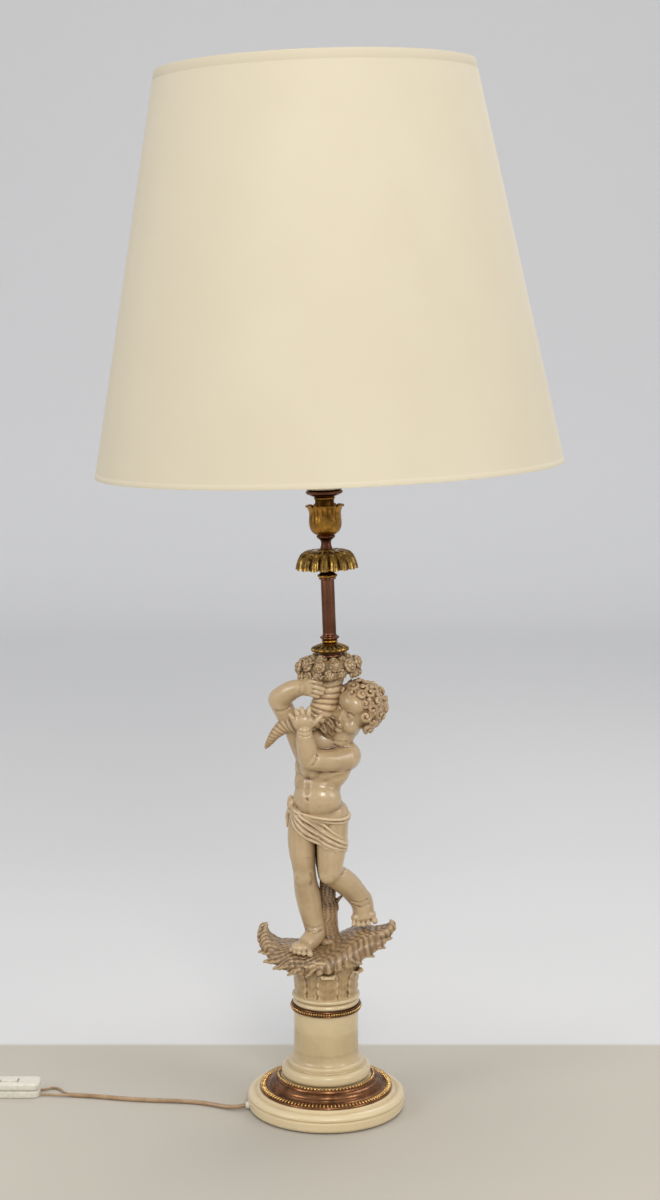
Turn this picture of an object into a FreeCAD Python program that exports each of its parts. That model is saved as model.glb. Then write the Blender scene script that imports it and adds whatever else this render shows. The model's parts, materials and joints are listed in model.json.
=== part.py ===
import FreeCAD, Part
import math
import operator
import os

import Sketcher

# Figural table lamp, millimetres.
# Origin: centre of the underside. +Z is up, +X is the viewer's right, the front faces -Y.
# A turned base and drum carry a capital of leaves, on which a child figure holds a horn of plenty.
# A threaded tube runs from the base through drum, stump and figure into the horn, where a coupler
# carries the gilt stem, the lampholder and the shade. The stem leans a little to the left.

doc = FreeCAD.newDocument("FiguralLamp")
sheet = doc.addObject("Spreadsheet::Sheet", "Sizes")

# --- driving dimensions --------------------------------------------------------------------------
TURNED_SIZES = [
    ("clearance", 0.15),
    # threaded tube in the lower half
    ("rod_radius", 5.0),
    ("rod_bore", 3.4),
    ("rod_lean", 0.53),
    ("rod_bottom", 9.5),
    ("rod_length", 429.1),
    ("passage_radius", 6.4),
    ("nut_height", 6.0),
    ("nut_across_flats", 17.0),
    ("washer_radius", 15.0),
    ("washer_thickness", 1.6),
    # felt and plinth
    ("felt_radius", 74.0),
    ("felt_thickness", 1.5),
    ("plinth_radius", 78.5),
    ("plinth_split", 11.6),
    ("plinth_top", 20.5),
    ("plinth_bead_radius", 71.0),
    ("plinth_cove_radius", 66.5),
    ("groove_depth", 1.6),
    ("recess_radius", 24.0),
    ("recess_top", 18.0),
    ("channel_width", 9.0),
    ("channel_height", 7.0),
    ("step_bottom_radius", 60.0),
    ("step_top_radius", 46.5),
    ("step_top", 34.0),
    # gilt ring over the step
    ("band_outer_height", 21.6),
    ("outer_bead_ring_radius", 63.0),
    ("outer_bead_radius", 2.2),
    ("inner_bead_ring_radius", 46.7),
    ("inner_bead_radius", 1.8),
    # drum
    ("drum_foot_radius", 44.6),
    ("drum_foot_height", 10.5),
    ("drum_torus_radius", 37.7),
    ("drum_torus_height", 5.6),
    ("drum_radius", 32.4),
    ("drum_sweep_height", 9.0),
    ("drum_top", 113.4),
    ("drum_ring_z", 105.5),
    ("drum_ring_radius", 36.1),
    ("drum_ring_height", 5.8),
    # capital
    ("capital_foot_radius", 34.2),
    ("capital_foot_height", 4.8),
    ("bell_radius", 30.2),
    ("bell_mouth_radius", 38.5),
    ("bell_top", 166.0),
    ("leaf_count", 8),
    ("leaf_width", 20.0),
    ("leaf_height", 30.0),
    ("leaf_thickness", 3.2),
    # stem, measured along its own leaning axis from its foot
    ("stem_foot_x", 4.3),
    ("stem_lean", 2.1),
    ("coupler_radius", 7.2),
    ("coupler_length", 24.0),
    ("upper_rod_radius", 4.0),
    ("upper_rod_bore", 2.9),
    ("upper_rod_length", 104.0),
    ("foot_ring_radius", 11.8),
    ("foot_ring_height", 4.0),
    ("foot_ring_drop", 7.0),
    ("gadroon_radius", 19.0),
    ("gadroon_low_radius", 13.6),
    ("gadroon_height", 9.0),
    ("gadroon_count", 16),
    ("lower_neck_radius", 6.9),
    ("lower_ring_radius", 9.6),
    ("lower_ring_height", 10.6),
    ("tube_radius", 6.7),
    ("tube_length", 48.6),
    ("upper_ring_radius", 9.3),
    ("upper_ring_height", 12.0),
    ("pan_radius", 30.6),
    ("pan_drop", 13.6),
    ("pan_crown", 3.6),
    ("pan_thickness", 1.3),
    ("pan_lobes", 17),
    ("neck_radius", 4.9),
    ("neck_collar_radius", 9.3),
    ("neck_length", 14.0),
    ("cup_foot_radius", 7.6),
    ("cup_radius", 14.4),
    ("cup_height", 29.0),
    ("cup_wall", 1.4),
    ("cup_leaf_count", 4),
    ("nozzle_radius", 9.6),
    ("nozzle_height", 37.0),
    ("dish_radius", 17.9),
    ("dish_low_radius", 12.4),
    ("dish_height", 5.0),
    ("nipple_radius", 4.0),
    # lampholder, bulb and shade
    ("holder_radius", 19.5),
    ("holder_skirt_height", 16.0),
    ("holder_height", 57.0),
    ("holder_wall", 1.8),
    ("insert_height", 12.0),
    ("shade_ring_radius", 27.0),
    ("shade_ring_height", 5.0),
    ("lower_ring_seat", 36.0),
    ("bulb_radius", 30.0),
    ("bulb_length", 78.0),
    ("bulb_cap_radius", 13.2),
    ("bulb_cap_length", 26.0),
    ("shade_low_radius", 225.0),
    ("shade_top_radius", 151.0),
    ("shade_height", 377.0),
    ("shade_bottom", 184.0),
    ("shade_off_centre", 6.0),
    ("shade_wall", 1.2),
    ("wire_radius", 1.5),
    ("fitter_bore", 20.0),
    ("fitter_thickness", 1.6),
    ("arm_radius", 1.6),
    ("arm_count", 3),
]

# Sections of the carved figure, from one end of each limb to the other:
# (place, x, y, z, half width, half depth). Place names make the cell names.
CARVED_SECTIONS = {
    "torso": [
        ("seat", -6.0, 3.0, 274.0, 20.0, 14.0),
        ("hips", -6.5, 2.5, 289.0, 28.0, 19.5),
        ("belt", -6.5, 1.5, 303.0, 27.5, 20.0),
        ("belly", -7.0, 0.5, 316.0, 24.0, 19.5),
        ("waist", -8.0, 1.0, 326.0, 22.6, 17.5),
        ("ribs", -5.5, 1.5, 341.0, 25.0, 17.5),
        ("chest", -2.0, 2.0, 356.0, 25.5, 17.0),
        ("shoulder", 2.5, 3.0, 368.0, 22.5, 14.0),
        ("collar", 9.0, 3.0, 377.0, 13.5, 10.5),
        ("nape", 16.0, 2.0, 386.0, 9.0, 9.0),
        ("skull", 22.0, 1.0, 394.0, 8.5, 8.5),
    ],
    "standing": [
        ("hip", -20.5, 1.0, 294.0, 14.5, 15.0),
        ("thigh", -24.4, -1.0, 277.0, 12.4, 13.5),
        ("low", -24.6, -3.0, 260.0, 10.8, 12.0),
        ("knee", -22.4, -5.0, 240.0, 9.3, 10.0),
        ("calf", -18.8, -3.0, 219.0, 11.2, 11.5),
        ("shin", -13.2, -4.0, 196.0, 9.2, 9.4),
        ("ankle", -9.8, -4.0, 181.0, 8.4, 8.6),
    ],
    "bent": [
        ("hip", 7.0, 1.0, 292.0, 15.0, 15.5),
        ("thigh", 6.7, -5.0, 276.0, 15.0, 15.0),
        ("low", 5.8, -11.0, 258.0, 13.2, 13.5),
        ("knee", 5.2, -15.0, 243.5, 11.2, 11.8),
        ("bend", 11.0, -12.0, 235.0, 11.2, 11.6),
        ("calf", 21.0, -3.0, 228.0, 11.4, 11.8),
        ("shin", 31.0, 8.0, 217.0, 10.0, 10.0),
        ("ankle", 36.0, 14.0, 209.0, 9.0, 9.0),
    ],
    "reaching": [
        ("shoulder", -14.0, 6.0, 368.0, 10.0, 10.0),
        ("upper", -28.0, 7.0, 386.0, 8.8, 8.8),
        ("low", -42.0, 4.0, 401.0, 8.4, 8.4),
        ("elbow", -48.0, 0.0, 411.5, 8.8, 8.8),
        ("fore", -40.0, -6.0, 421.0, 8.2, 8.2),
        ("wrist", -26.5, -13.0, 429.5, 6.4, 6.4),
        ("palm", -18.0, -16.0, 431.0, 7.6, 5.0),
        ("fingers", -4.0, -16.5, 430.0, 6.6, 3.2),
    ],
    "folded": [
        ("shoulder", 17.0, 2.0, 357.5, 11.5, 11.5),
        ("upper", 9.0, -10.0, 356.5, 11.2, 11.0),
        ("low", -4.0, -20.0, 356.5, 9.8, 9.6),
        ("elbow", -14.5, -23.5, 359.0, 9.4, 9.4),
        ("fore", -19.5, -24.5, 370.0, 9.0, 8.6),
        ("wrist", -21.0, -24.0, 386.0, 6.9, 6.6),
        ("palm", -22.0, -22.5, 397.0, 9.6, 5.0),
        ("fingers", -24.5, -19.5, 411.0, 9.0, 3.2),
    ],
    "horn": [
        ("mouth", 5.2, 0.0, 450.0, 12.9, 12.9),
        ("throat", 3.4, -0.5, 436.0, 12.4, 12.4),
        ("upper", 1.6, -1.5, 423.0, 12.3, 12.3),
        ("body", -1.2, -3.0, 411.0, 12.2, 12.0),
        ("bend", -6.6, -5.0, 400.5, 11.4, 11.2),
        ("turn", -16.0, -6.0, 393.8, 10.0, 9.8),
        ("back", -27.0, -4.0, 392.6, 8.4, 8.4),
        ("drop", -38.0, 0.0, 390.4, 7.0, 7.0),
        ("tail", -47.5, 3.5, 384.5, 5.6, 5.6),
        ("low", -54.5, 6.0, 375.5, 3.9, 3.9),
        ("tip", -60.5, 8.0, 365.0, 1.7, 1.7),
    ],
    "platform": [
        ("left", -66.5, 0.0, 173.0, 6.0, 5.0),
        ("edge", -60.0, 0.0, 170.5, 15.0, 11.5),
        ("wing", -49.0, -1.0, 164.0, 26.0, 13.0),
        ("slope", -33.0, -1.0, 161.0, 36.0, 13.5),
        ("toes", -14.0, -1.0, 161.5, 42.0, 13.5),
        ("middle", 6.0, 0.0, 163.5, 43.0, 13.5),
        ("mound", 24.0, 0.0, 170.0, 40.0, 16.0),
        ("crest", 42.0, 0.0, 176.0, 31.0, 13.0),
        ("right", 56.0, 0.0, 178.5, 20.0, 8.0),
        ("end", 66.0, 0.0, 183.0, 8.0, 4.5),
    ],
    "stump": [
        ("root", 1.5, 2.0, 166.0, 12.5, 11.0),
        ("base", 1.6, 2.0, 180.0, 10.4, 9.6),
        ("bark", 1.8, 2.0, 200.0, 9.6, 9.2),
        ("break", 2.0, 1.8, 213.0, 8.8, 8.8),
        ("trunk", 2.1, 1.0, 218.0, 7.2, 6.9),
        ("top", 2.6, 1.0, 262.0, 7.2, 6.9),
    ],
}
BLOB_SIZES = [
    ("foot_heel_x", -7.5),
    ("foot_heel_y", -1.0),
    ("foot_toe_x", -29.0),
    ("foot_toe_y", -30.0),
    ("foot_sole_z", 169.0),
    ("foot_heel_radius", 9.0),
    ("foot_toe_radius", 8.6),
    ("foot_heel_height", 9.0),
    ("foot_toe_height", 4.8),
    ("raised_heel_x", 40.5),
    ("raised_heel_y", 17.0),
    ("raised_heel_z", 206.0),
    ("raised_heel_radius", 7.6),
    ("raised_toe_x", 36.0),
    ("raised_toe_y", -1.0),
    ("raised_toe_z", 190.0),
    ("raised_toe_radius", 9.8),
    ("raised_toe_height", 4.6),
    ("head_x", 32.0),
    ("head_y", -1.0),
    ("head_z", 403.0),
    ("head_half_width", 16.5),
    ("head_half_depth", 17.5),
    ("head_half_height", 20.5),
    ("head_tilt", 24.0),
    ("hair_x", 39.0),
    ("hair_y", 2.0),
    ("hair_z", 408.0),
    ("hair_half_width", 18.0),
    ("hair_half_depth", 21.0),
    ("hair_half_height", 23.0),
    ("curl_radius", 6.4),
    ("curl_count", 9),
    ("curl_ring_radius", 16.0),
    ("wreath_x", 2.4),
    ("wreath_drop", 9.5),
    ("wreath_ring_radius", 22.0),
    ("wreath_tube_radius", 7.0),
    ("rose_radius", 8.6),
    ("rose_count", 13),
    ("drape_thickness", 2.6),
    ("drape_band_z", 299.0),
    ("drape_band_height", 6.0),
    ("drape_band_slope", 7.0),
    ("drape_swag_height", 13.0),
    ("drape_swag_slope", 38.0),
    ("drape_swag_z", 285.0),
    ("knot_x", -35.5),
    ("knot_y", 2.0),
    ("knot_z", 310.0),
    ("knot_radius", 5.2),
]
FLEX_SIZES = [
    ("flex_radius", 2.2),
    ("core_radius", 1.2),
    ("bush_length", 9.0),
    ("inlet_angle", 190.0),
    ("inlet_height", 5.2),
    ("lead_radius", 2.3),
    ("switch_x", -322.5),
    ("switch_y", 29.0),
    ("switch_length", 62.0),
    ("switch_width", 25.0),
    ("switch_height", 15.0),
    ("switch_wall", 1.6),
    ("switch_end_round", 6.0),
    ("rocker_length", 17.0),
    ("rocker_width", 9.0),
    ("rocker_height", 8.5),
    ("rocker_pin_radius", 1.0),
    ("screw_radius", 1.6),
    ("coil_x", -404.0),
    ("coil_y", 67.5),
    ("coil_mean_radius", 28.0),
    ("coil_pitch", 5.0),
    ("coil_turns_per_layer", 4),
    ("plug_x", -404.0),
    ("plug_y", -22.0),
    ("plug_length", 34.0),
    ("plug_width", 35.0),
    ("plug_thickness", 13.7),
    ("plug_pin_radius", 2.0),
    ("plug_pin_length", 19.0),
    ("plug_pin_spacing", 18.6),
]


class Size:
    """A number together with the formula it comes from, so that a constraint can be bound to it."""

    def __init__(self, number, formula):
        self.number = number
        self.formula = formula

    def __float__(self):
        return float(self.number)

    def __add__(self, other):
        return combined(self, other, "+", operator.add)

    def __sub__(self, other):
        return combined(self, other, "-", operator.sub)

    def __mul__(self, other):
        return combined(self, other, "*", operator.mul)

    def __truediv__(self, other):
        return combined(self, other, "/", operator.truediv)


def combined(left, right, sign, act):
    right = right if isinstance(right, Size) else Size(right, repr(right))
    return Size(act(left.number, right.number), f"({left.formula} {sign} {right.formula})")


def cell_rows():
    yield from TURNED_SIZES
    for limb, sections in CARVED_SECTIONS.items():
        for place, *numbers in sections:
            for word, number in zip(("x", "y", "z", "wide", "deep"), numbers):
                yield f"{limb}_{place}_{word}", number
    yield from BLOB_SIZES
    yield from FLEX_SIZES


S = {}
for row, (alias, number) in enumerate(cell_rows(), start=1):
    sheet.set(f"A{row}", alias)
    sheet.set(f"B{row}", str(number))
    sheet.setAlias(f"B{row}", alias)
    S[alias] = Size(number, f"Sizes.{alias}")
doc.recompute()


def num(alias):
    """The number in the sheet's cell of that name."""
    return float(S[alias])


# --- helpers -------------------------------------------------------------------------------------
subparts = []


def kept(item, label):
    """Marks an object as one of the lamp's sub-parts and gives it its name."""
    item.Label = label
    subparts.append(item)
    return item


def bind(item, **formulas):
    for prop, size in formulas.items():
        item.setExpression(prop, size.formula)


def origin_plane(body, role):
    return next(f for f in body.Origin.OriginFeatures if f.Role == role)


def V(x, y, z):
    return FreeCAD.Vector(float(x), float(y), float(z))


coupler_low = S["rod_bottom"] + S["rod_length"] - S["coupler_length"] * 0.5
stem_foot = coupler_low + S["coupler_length"] + S["foot_ring_drop"] + 0.4


def leaning(x=0.0, y=0.0, along=0.0):
    """A placement on the stem's own axis, a given way up from its foot."""
    turn = FreeCAD.Rotation(FreeCAD.Vector(0, 1, 0), -num("stem_lean"))
    foot = V(num("stem_foot_x"), 0, stem_foot)
    return FreeCAD.Placement(foot + turn.multVec(FreeCAD.Vector(x, y, along)), turn)


def rod_placement(height=0.0):
    """A placement on the axis of the lower threaded tube, which leans a little to the right."""
    turn = FreeCAD.Rotation(FreeCAD.Vector(0, 1, 0), num("rod_lean"))
    return FreeCAD.Placement(turn.multVec(FreeCAD.Vector(0, 0, height)), turn)


def outline_sketch(body, name, role, corners):
    """A closed outline of straight runs whose (across, up) corners are bound to the sheet."""
    sketch = body.newObject("Sketcher::SketchObject", name)
    sketch.AttachmentSupport = [(origin_plane(body, role), "")]
    sketch.MapMode = "FlatFace"
    points = [V(*corner, 0) for corner in corners]
    for index, end in enumerate(points):
        sketch.addGeometry(Part.LineSegment(points[index - 1], end), False)
    for index in range(len(corners)):
        following = (index + 1) % len(corners)
        sketch.addConstraint(Sketcher.Constraint("Coincident", index, 2, following, 1))
    for index, corner in enumerate(corners):
        for kind, size in (("DistanceX", corner[0]), ("DistanceY", corner[1])):
            if abs(float(size)) < 1e-9:
                line = -2 if kind == "DistanceX" else -1
                sketch.addConstraint(Sketcher.Constraint("PointOnObject", index, 2, line))
                continue
            made = sketch.addConstraint(Sketcher.Constraint(kind, -1, 1, index, 2, float(size)))
            sketch.setExpression(f"Constraints[{made}]", size.formula)
    return sketch


def with_chords(corners):
    """Each curved run told as short straight ones. A corner's third number is the rise, over half
    the chord, of the curve that leads to it."""
    told = []
    for index, corner in enumerate(corners):
        if len(corner) == 3:
            start, rise = corners[index - 1], corner[2]
            across, up = corner[0] - start[0], corner[1] - start[1]
            steps = ((0.5, 0.5),) if abs(rise) < 0.5 else ((0.225, 0.4), (0.775, 0.4))
            for share, height in steps:
                told.append((start[0] + across * share + up * (rise * height),
                             start[1] + up * share - across * (rise * height)))
        told.append(corner[:2])
    return told


def turned(name, corners, place=None, keep=True):
    """A body turned about its own Z from an outline of (radius, height) corners."""
    body = doc.addObject("PartDesign::Body", name)
    sketch = outline_sketch(body, name + "_outline", "XZ_Plane", with_chords(corners))
    turn = body.newObject("PartDesign::Revolution", name + "_turned")
    turn.Profile = (sketch, [""])
    turn.ReferenceAxis = (sketch, ["V_Axis"])
    turn.Angle = 360.0
    if place is not None:
        body.Placement = place
    return kept(body, name) if keep else body


def cylinder(name, radius, height, place=None):
    item = doc.addObject("Part::Cylinder", name)
    bind(item, Radius=radius, Height=height)
    item.Placement = place or FreeCAD.Placement()
    return item


def cut(name, base, *tools):
    """The base less each tool, as a chain of cuts."""
    for index, tool in enumerate(tools):
        step = doc.addObject("Part::Cut", f"{name}_less_{index}")
        step.Base = base
        step.Tool = tool
        base = step
    return base


def fused(name, shapes):
    item = doc.addObject("Part::MultiFuse", name)
    item.Shapes = shapes
    return item


def common(name, first, second):
    item = doc.addObject("Part::Common", name)
    item.Base = first
    item.Tool = second
    return item


# --- base, turned about the upright axis ---------------------------------------------------------
zero = Size(0.0, "0")
passage = S["passage_radius"]
split = S["plinth_split"]
groove = S["plinth_radius"] - S["groove_depth"]
recess = S["recess_radius"]

turned("base_felt", [
    (zero, zero),
    (S["felt_radius"], zero),
    (S["felt_radius"], S["felt_thickness"]),
    (zero, S["felt_thickness"]),
])

lower_ring = turned("lower_plinth_ring", [
    (recess, S["felt_thickness"]),
    (S["plinth_radius"] - 1.6, S["felt_thickness"]),
    (S["plinth_radius"], S["felt_thickness"] + 3.0),
    (S["plinth_radius"], split - 1.4),
    (groove, split),
    (recess, split),
], keep=False)
channel = doc.addObject("Part::Box", "flex_channel")
bind(channel, Length=S["plinth_radius"] + 5.0, Width=S["channel_width"], Height=S["channel_height"])
inlet_turn = FreeCAD.Rotation(FreeCAD.Vector(0, 0, 1), num("inlet_angle"))
channel.Placement = FreeCAD.Placement(
    inlet_turn.multVec(V(0, -num("channel_width") / 2, 0)) + V(0, 0, num("felt_thickness")),
    inlet_turn)
kept(cut("lower_plinth", lower_ring, channel), "lower_plinth")

turned("upper_plinth", [
    (recess, split),
    (groove, split),
    (S["plinth_radius"], split + 1.4),
    (S["plinth_bead_radius"], S["plinth_top"] - 2.4, 0.75),
    (S["plinth_cove_radius"], S["plinth_top"], -0.45),
    (S["step_bottom_radius"], S["plinth_top"]),
    (S["step_top_radius"] - 1.5, S["step_top"] - 1.0),
    (S["step_top_radius"] - 3.5, S["step_top"]),
    (passage, S["step_top"]),
    (passage, S["recess_top"]),
    (recess, S["recess_top"]),
])

# The gilt ring is a thin spun shell that lies over the step and carries a bead row at each edge.
gap = S["clearance"]
outer_row = S["outer_bead_ring_radius"]
inner_row = S["inner_bead_ring_radius"]
outer_bead = S["outer_bead_radius"]
inner_bead = S["inner_bead_radius"]
outer_row_z = S["band_outer_height"] + outer_bead * 0.6
inner_row_z = S["step_top"] + inner_bead * 0.6
turned("gilt_step_ring", [
    (S["step_bottom_radius"] + 0.5, S["plinth_top"] + gap),
    (S["plinth_cove_radius"] - 0.4, S["plinth_top"] + gap),
    (outer_row + outer_bead, outer_row_z),
    (outer_row, outer_row_z + outer_bead),
    (outer_row - outer_bead, outer_row_z),
    (inner_row + inner_bead + 0.8, inner_row_z - inner_bead * 0.6),
    (inner_row, inner_row_z + inner_bead),
    (S["step_top_radius"] - 1.1, S["step_top"] - 0.3),
])

drum_bottom = S["step_top"] + 0.6
foot_top = drum_bottom + S["drum_foot_height"]
torus_top = foot_top + S["drum_torus_height"]
sweep_top = torus_top + S["drum_sweep_height"]
ring_low = S["drum_ring_z"] - S["drum_ring_height"] / 2
ring_high = S["drum_ring_z"] + S["drum_ring_height"] / 2
turned("column_drum", [
    (passage, drum_bottom),
    (S["drum_foot_radius"] - 3.0, drum_bottom),
    (S["drum_foot_radius"] - 1.6, foot_top, 0.75),
    (S["drum_torus_radius"] - 0.4, foot_top + 0.8),
    (S["drum_torus_radius"] - 1.6, torus_top, 0.8),
    (S["drum_radius"] + 2.0, torus_top + 0.8),
    (S["drum_radius"], sweep_top, -0.25),
    (S["drum_radius"], ring_low),
    (S["drum_radius"] - 0.8, ring_low),
    (S["drum_radius"] - 0.8, S["drum_top"]),
    (passage, S["drum_top"]),
])
turned("drum_bead_ring", [
    (S["drum_radius"] - 0.8 + gap, ring_low + gap),
    (S["drum_ring_radius"] - 1.6, ring_low + gap),
    (S["drum_ring_radius"] - 1.6, ring_high - gap, 0.6),
    (S["drum_radius"] - 0.8 + gap, ring_high - gap),
])
# --- threaded tube, nut and washer -----------------------------------------------------------------
rod_outer = cylinder("rod_outer", S["rod_radius"], S["rod_length"], rod_placement(num("rod_bottom")))
rod_hole = cylinder("rod_hole", S["rod_bore"], S["rod_length"] + 2.0,
                    rod_placement(num("rod_bottom") - 1.0))
kept(cut("central_tube", rod_outer, rod_hole), "central_tube")

washer_low = num("recess_top") - num("washer_thickness") - num("clearance")
washer_disc = cylinder("washer_disc", S["washer_radius"], S["washer_thickness"],
                       FreeCAD.Placement(V(0, 0, washer_low), FreeCAD.Rotation()))
washer_hole = cylinder("washer_hole", S["rod_radius"] + 0.3, S["washer_thickness"] + 4.0,
                       FreeCAD.Placement(V(0, 0, washer_low - 2.0), FreeCAD.Rotation()))
kept(cut("base_washer", washer_disc, washer_hole), "base_washer")
nut_low = washer_low - num("nut_height") - num("clearance")
hexagon = doc.addObject("Part::Prism", "nut_hexagon")
bind(hexagon, Circumradius=S["nut_across_flats"] * 0.57735, Height=S["nut_height"])
hexagon.Polygon = 6
hexagon.Placement.Base = V(0, 0, nut_low)
nut_hole = cylinder("nut_hole", S["rod_radius"] + 0.18, S["nut_height"] + 4.0,
                    FreeCAD.Placement(V(0, 0, nut_low - 2.0), FreeCAD.Rotation()))
kept(cut("base_nut", hexagon, nut_hole), "base_nut")
bore = cylinder("figure_passage", passage - 1.2, S["rod_length"] - 90.0, rod_placement(100.0))


# --- carved pieces: lofts through ellipses --------------------------------------------------------
def section_frames(limb):
    """Middle of each section of a limb and the direction that the limb takes there."""
    middles = [V(num(f"{limb}_{p}_x"), num(f"{limb}_{p}_y"), num(f"{limb}_{p}_z"))
               for p, *_ in CARVED_SECTIONS[limb]]
    frames = []
    for index, middle in enumerate(middles):
        before = middles[max(index - 1, 0)]
        after = middles[min(index + 1, len(middles) - 1)]
        frames.append((middle, (after - before).normalize()))
    return frames


def many_sided(name, place, corners):
    """A closed ring through corners that are given across and deep from a placement."""
    spots = [place.multVec(V(across, deep, 0)) for across, deep in corners]
    ring = doc.addObject("Part::Feature", name)
    ring.Shape = Part.makePolygon(spots + spots[:1])
    return ring


def oval(across, deep, sides):
    """Corners of a many-sided ring that holds about the area of the oval with these half sizes."""
    swell = 1 / math.sqrt(math.cos(math.pi / sides))
    turns = [2 * math.pi * index / sides for index in range(sides)]
    return [(float(across) * swell * math.cos(t), float(deep) * swell * math.sin(t)) for t in turns]


def lobed(radius, dip, count):
    """Corners of a ring with count lobes that stand dip beyond the hollows between them."""
    corners = []
    for index in range(2 * count):
        turn = math.pi * index / count
        reach = float(radius) - dip * (index % 2)
        corners.append((reach * math.cos(turn), reach * math.sin(turn)))
    return corners


def block_through(name, rings):
    """A solid block of flat-sided bands through rings of equal count."""
    loft = doc.addObject("Part::Loft", name)
    loft.Sections = rings
    loft.Solid = True
    loft.Ruled = True
    return loft


def carved(limb, side, upright=False):
    """A block through the limb's sections. Each is square to the limb, or level where upright is
    set, with its width along side and its depth across it."""
    rings = []
    for (place, *_), (middle, way) in zip(CARVED_SECTIONS[limb], section_frames(limb)):
        if upright:
            way = FreeCAD.Vector(0, 0, 1)
        across = (side - way * side.dot(way)).normalize()
        turn = FreeCAD.Rotation(across, way.cross(across), way, "ZXY")
        rings.append(many_sided(f"{limb}_{place}", FreeCAD.Placement(middle, turn),
                                oval(S[f"{limb}_{place}_wide"], S[f"{limb}_{place}_deep"], LIMB_SIDES)))
    return block_through(limb + "_block", rings)


def ball(name, middle, *radii, turn=None, sides=10):
    """A many-sided egg with its half sizes along X, Y and Z before it is turned."""
    turn = turn or FreeCAD.Rotation()
    rings = []
    for degrees in (-72, -32, 8, 45, 76):
        rise = turn.multVec(V(0, 0, float(radii[2]) * math.sin(math.radians(degrees)) * 1.04))
        share = math.cos(math.radians(degrees))
        rings.append(many_sided(f"{name}_{degrees + 90}", FreeCAD.Placement(middle + rise, turn),
                                oval(float(radii[0]) * share, float(radii[1]) * share, sides)))
    return block_through(name, rings)


def bud(name, place, radius, height, sides=6):
    """A small faceted bud: a many-sided block that swells at its middle."""
    rings = []
    for share, level in ((0.55, -0.5), (1.0, -0.1), (0.6, 0.5)):
        here = place.multiply(FreeCAD.Placement(V(0, 0, float(height) * level), FreeCAD.Rotation()))
        reach = float(radius) * share
        rings.append(many_sided(f"{name}_{int(level * 10)}", here, oval(reach, reach, sides)))
    return block_through(name, rings)


def largest(name, source):
    """The main block of a cut, without the crumbs that its neighbours' edges leave."""
    doc.recompute()
    item = doc.addObject("Part::Feature", name)
    item.Shape = max(source.Shape.Solids, key=lambda solid: solid.Volume)
    return item


LIMB_SIDES = 12
X_AXIS = FreeCAD.Vector(1, 0, 0)
Y_AXIS = FreeCAD.Vector(0, 1, 0)
Z_AXIS = FreeCAD.Vector(0, 0, 1)

platform_raw = carved("platform", Y_AXIS)
stump_raw = carved("stump", X_AXIS, upright=True)
torso_raw = carved("torso", X_AXIS, upright=True)
horn_raw = carved("horn", Y_AXIS)
standing_loft = carved("standing", X_AXIS, upright=True)
bent_loft = carved("bent", X_AXIS)
reaching_loft = carved("reaching", Z_AXIS)
folded_loft = carved("folded", X_AXIS)

sole = num("foot_sole_z")
heel = ball("foot_heel", V(num("foot_heel_x"), num("foot_heel_y"), sole + 6.0),
            S["foot_heel_radius"], S["foot_heel_radius"], S["foot_heel_height"])
toe = ball("foot_toe", V(num("foot_toe_x"), num("foot_toe_y"), sole + 2.0),
           S["foot_toe_radius"], S["foot_toe_radius"], S["foot_toe_height"])
arch_middle = V((num("foot_heel_x") + num("foot_toe_x")) / 2,
                (num("foot_heel_y") + num("foot_toe_y")) / 2, sole + 5.0)
arch_turn = FreeCAD.Rotation(X_AXIS, V(num("foot_toe_x") - num("foot_heel_x"),
                                       num("foot_toe_y") - num("foot_heel_y"), -4.0))
arch = ball("foot_arch", arch_middle, S["foot_heel_radius"] * 2.1,
            S["foot_toe_radius"], S["foot_heel_height"] * 0.85, turn=arch_turn)
standing_raw = fused("standing_leg_raw", [standing_loft, heel, toe, arch])

raised_heel = ball("raised_heel", V(num("raised_heel_x"), num("raised_heel_y"), num("raised_heel_z")),
                   S["raised_heel_radius"], S["raised_heel_radius"], S["raised_heel_radius"])
raised_way = V(num("raised_toe_x") - 36.0, num("raised_toe_y") - 14.0, num("raised_toe_z") - 209.0)
raised_arch = ball("raised_arch", V(36.5, 7.0, 199.0), S["raised_toe_radius"] * 1.5,
                   S["raised_toe_radius"], S["raised_toe_radius"] * 0.75,
                   turn=FreeCAD.Rotation(X_AXIS, raised_way))
raised_toe = ball("raised_toe", V(num("raised_toe_x"), num("raised_toe_y"), num("raised_toe_z")),
                  S["raised_toe_radius"], S["raised_toe_radius"] * 0.8, S["raised_toe_height"])
bent_raw = fused("bent_leg_raw", [bent_loft, raised_heel, raised_arch, raised_toe])

head_turn = FreeCAD.Rotation(Y_AXIS, -num("head_tilt"))
head_raw = ball("head_raw", V(num("head_x"), num("head_y"), num("head_z")), S["head_half_width"],
                S["head_half_depth"], S["head_half_height"], turn=head_turn)
crown = ball("hair_crown", V(num("hair_x"), num("hair_y"), num("hair_z")), S["hair_half_width"],
             S["hair_half_depth"], S["hair_half_height"], turn=head_turn)
curls = []
for index in range(int(num("curl_count"))):
    angle = math.radians(-60 + index * 240 / (num("curl_count") - 1))
    spot = V(num("hair_x") + 1 + num("curl_ring_radius") * math.cos(angle), num("hair_y") + 2,
             num("hair_z") + (num("curl_ring_radius") + 4) * math.sin(angle))
    outward_turn = FreeCAD.Rotation(Z_AXIS, V(math.cos(angle), 0, math.sin(angle)))
    curls.append(bud(f"curl_{index}", FreeCAD.Placement(spot, outward_turn), S["curl_radius"],
                     S["curl_radius"] * 2))
hair_raw = fused("hair_raw", [crown] + curls)

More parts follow.
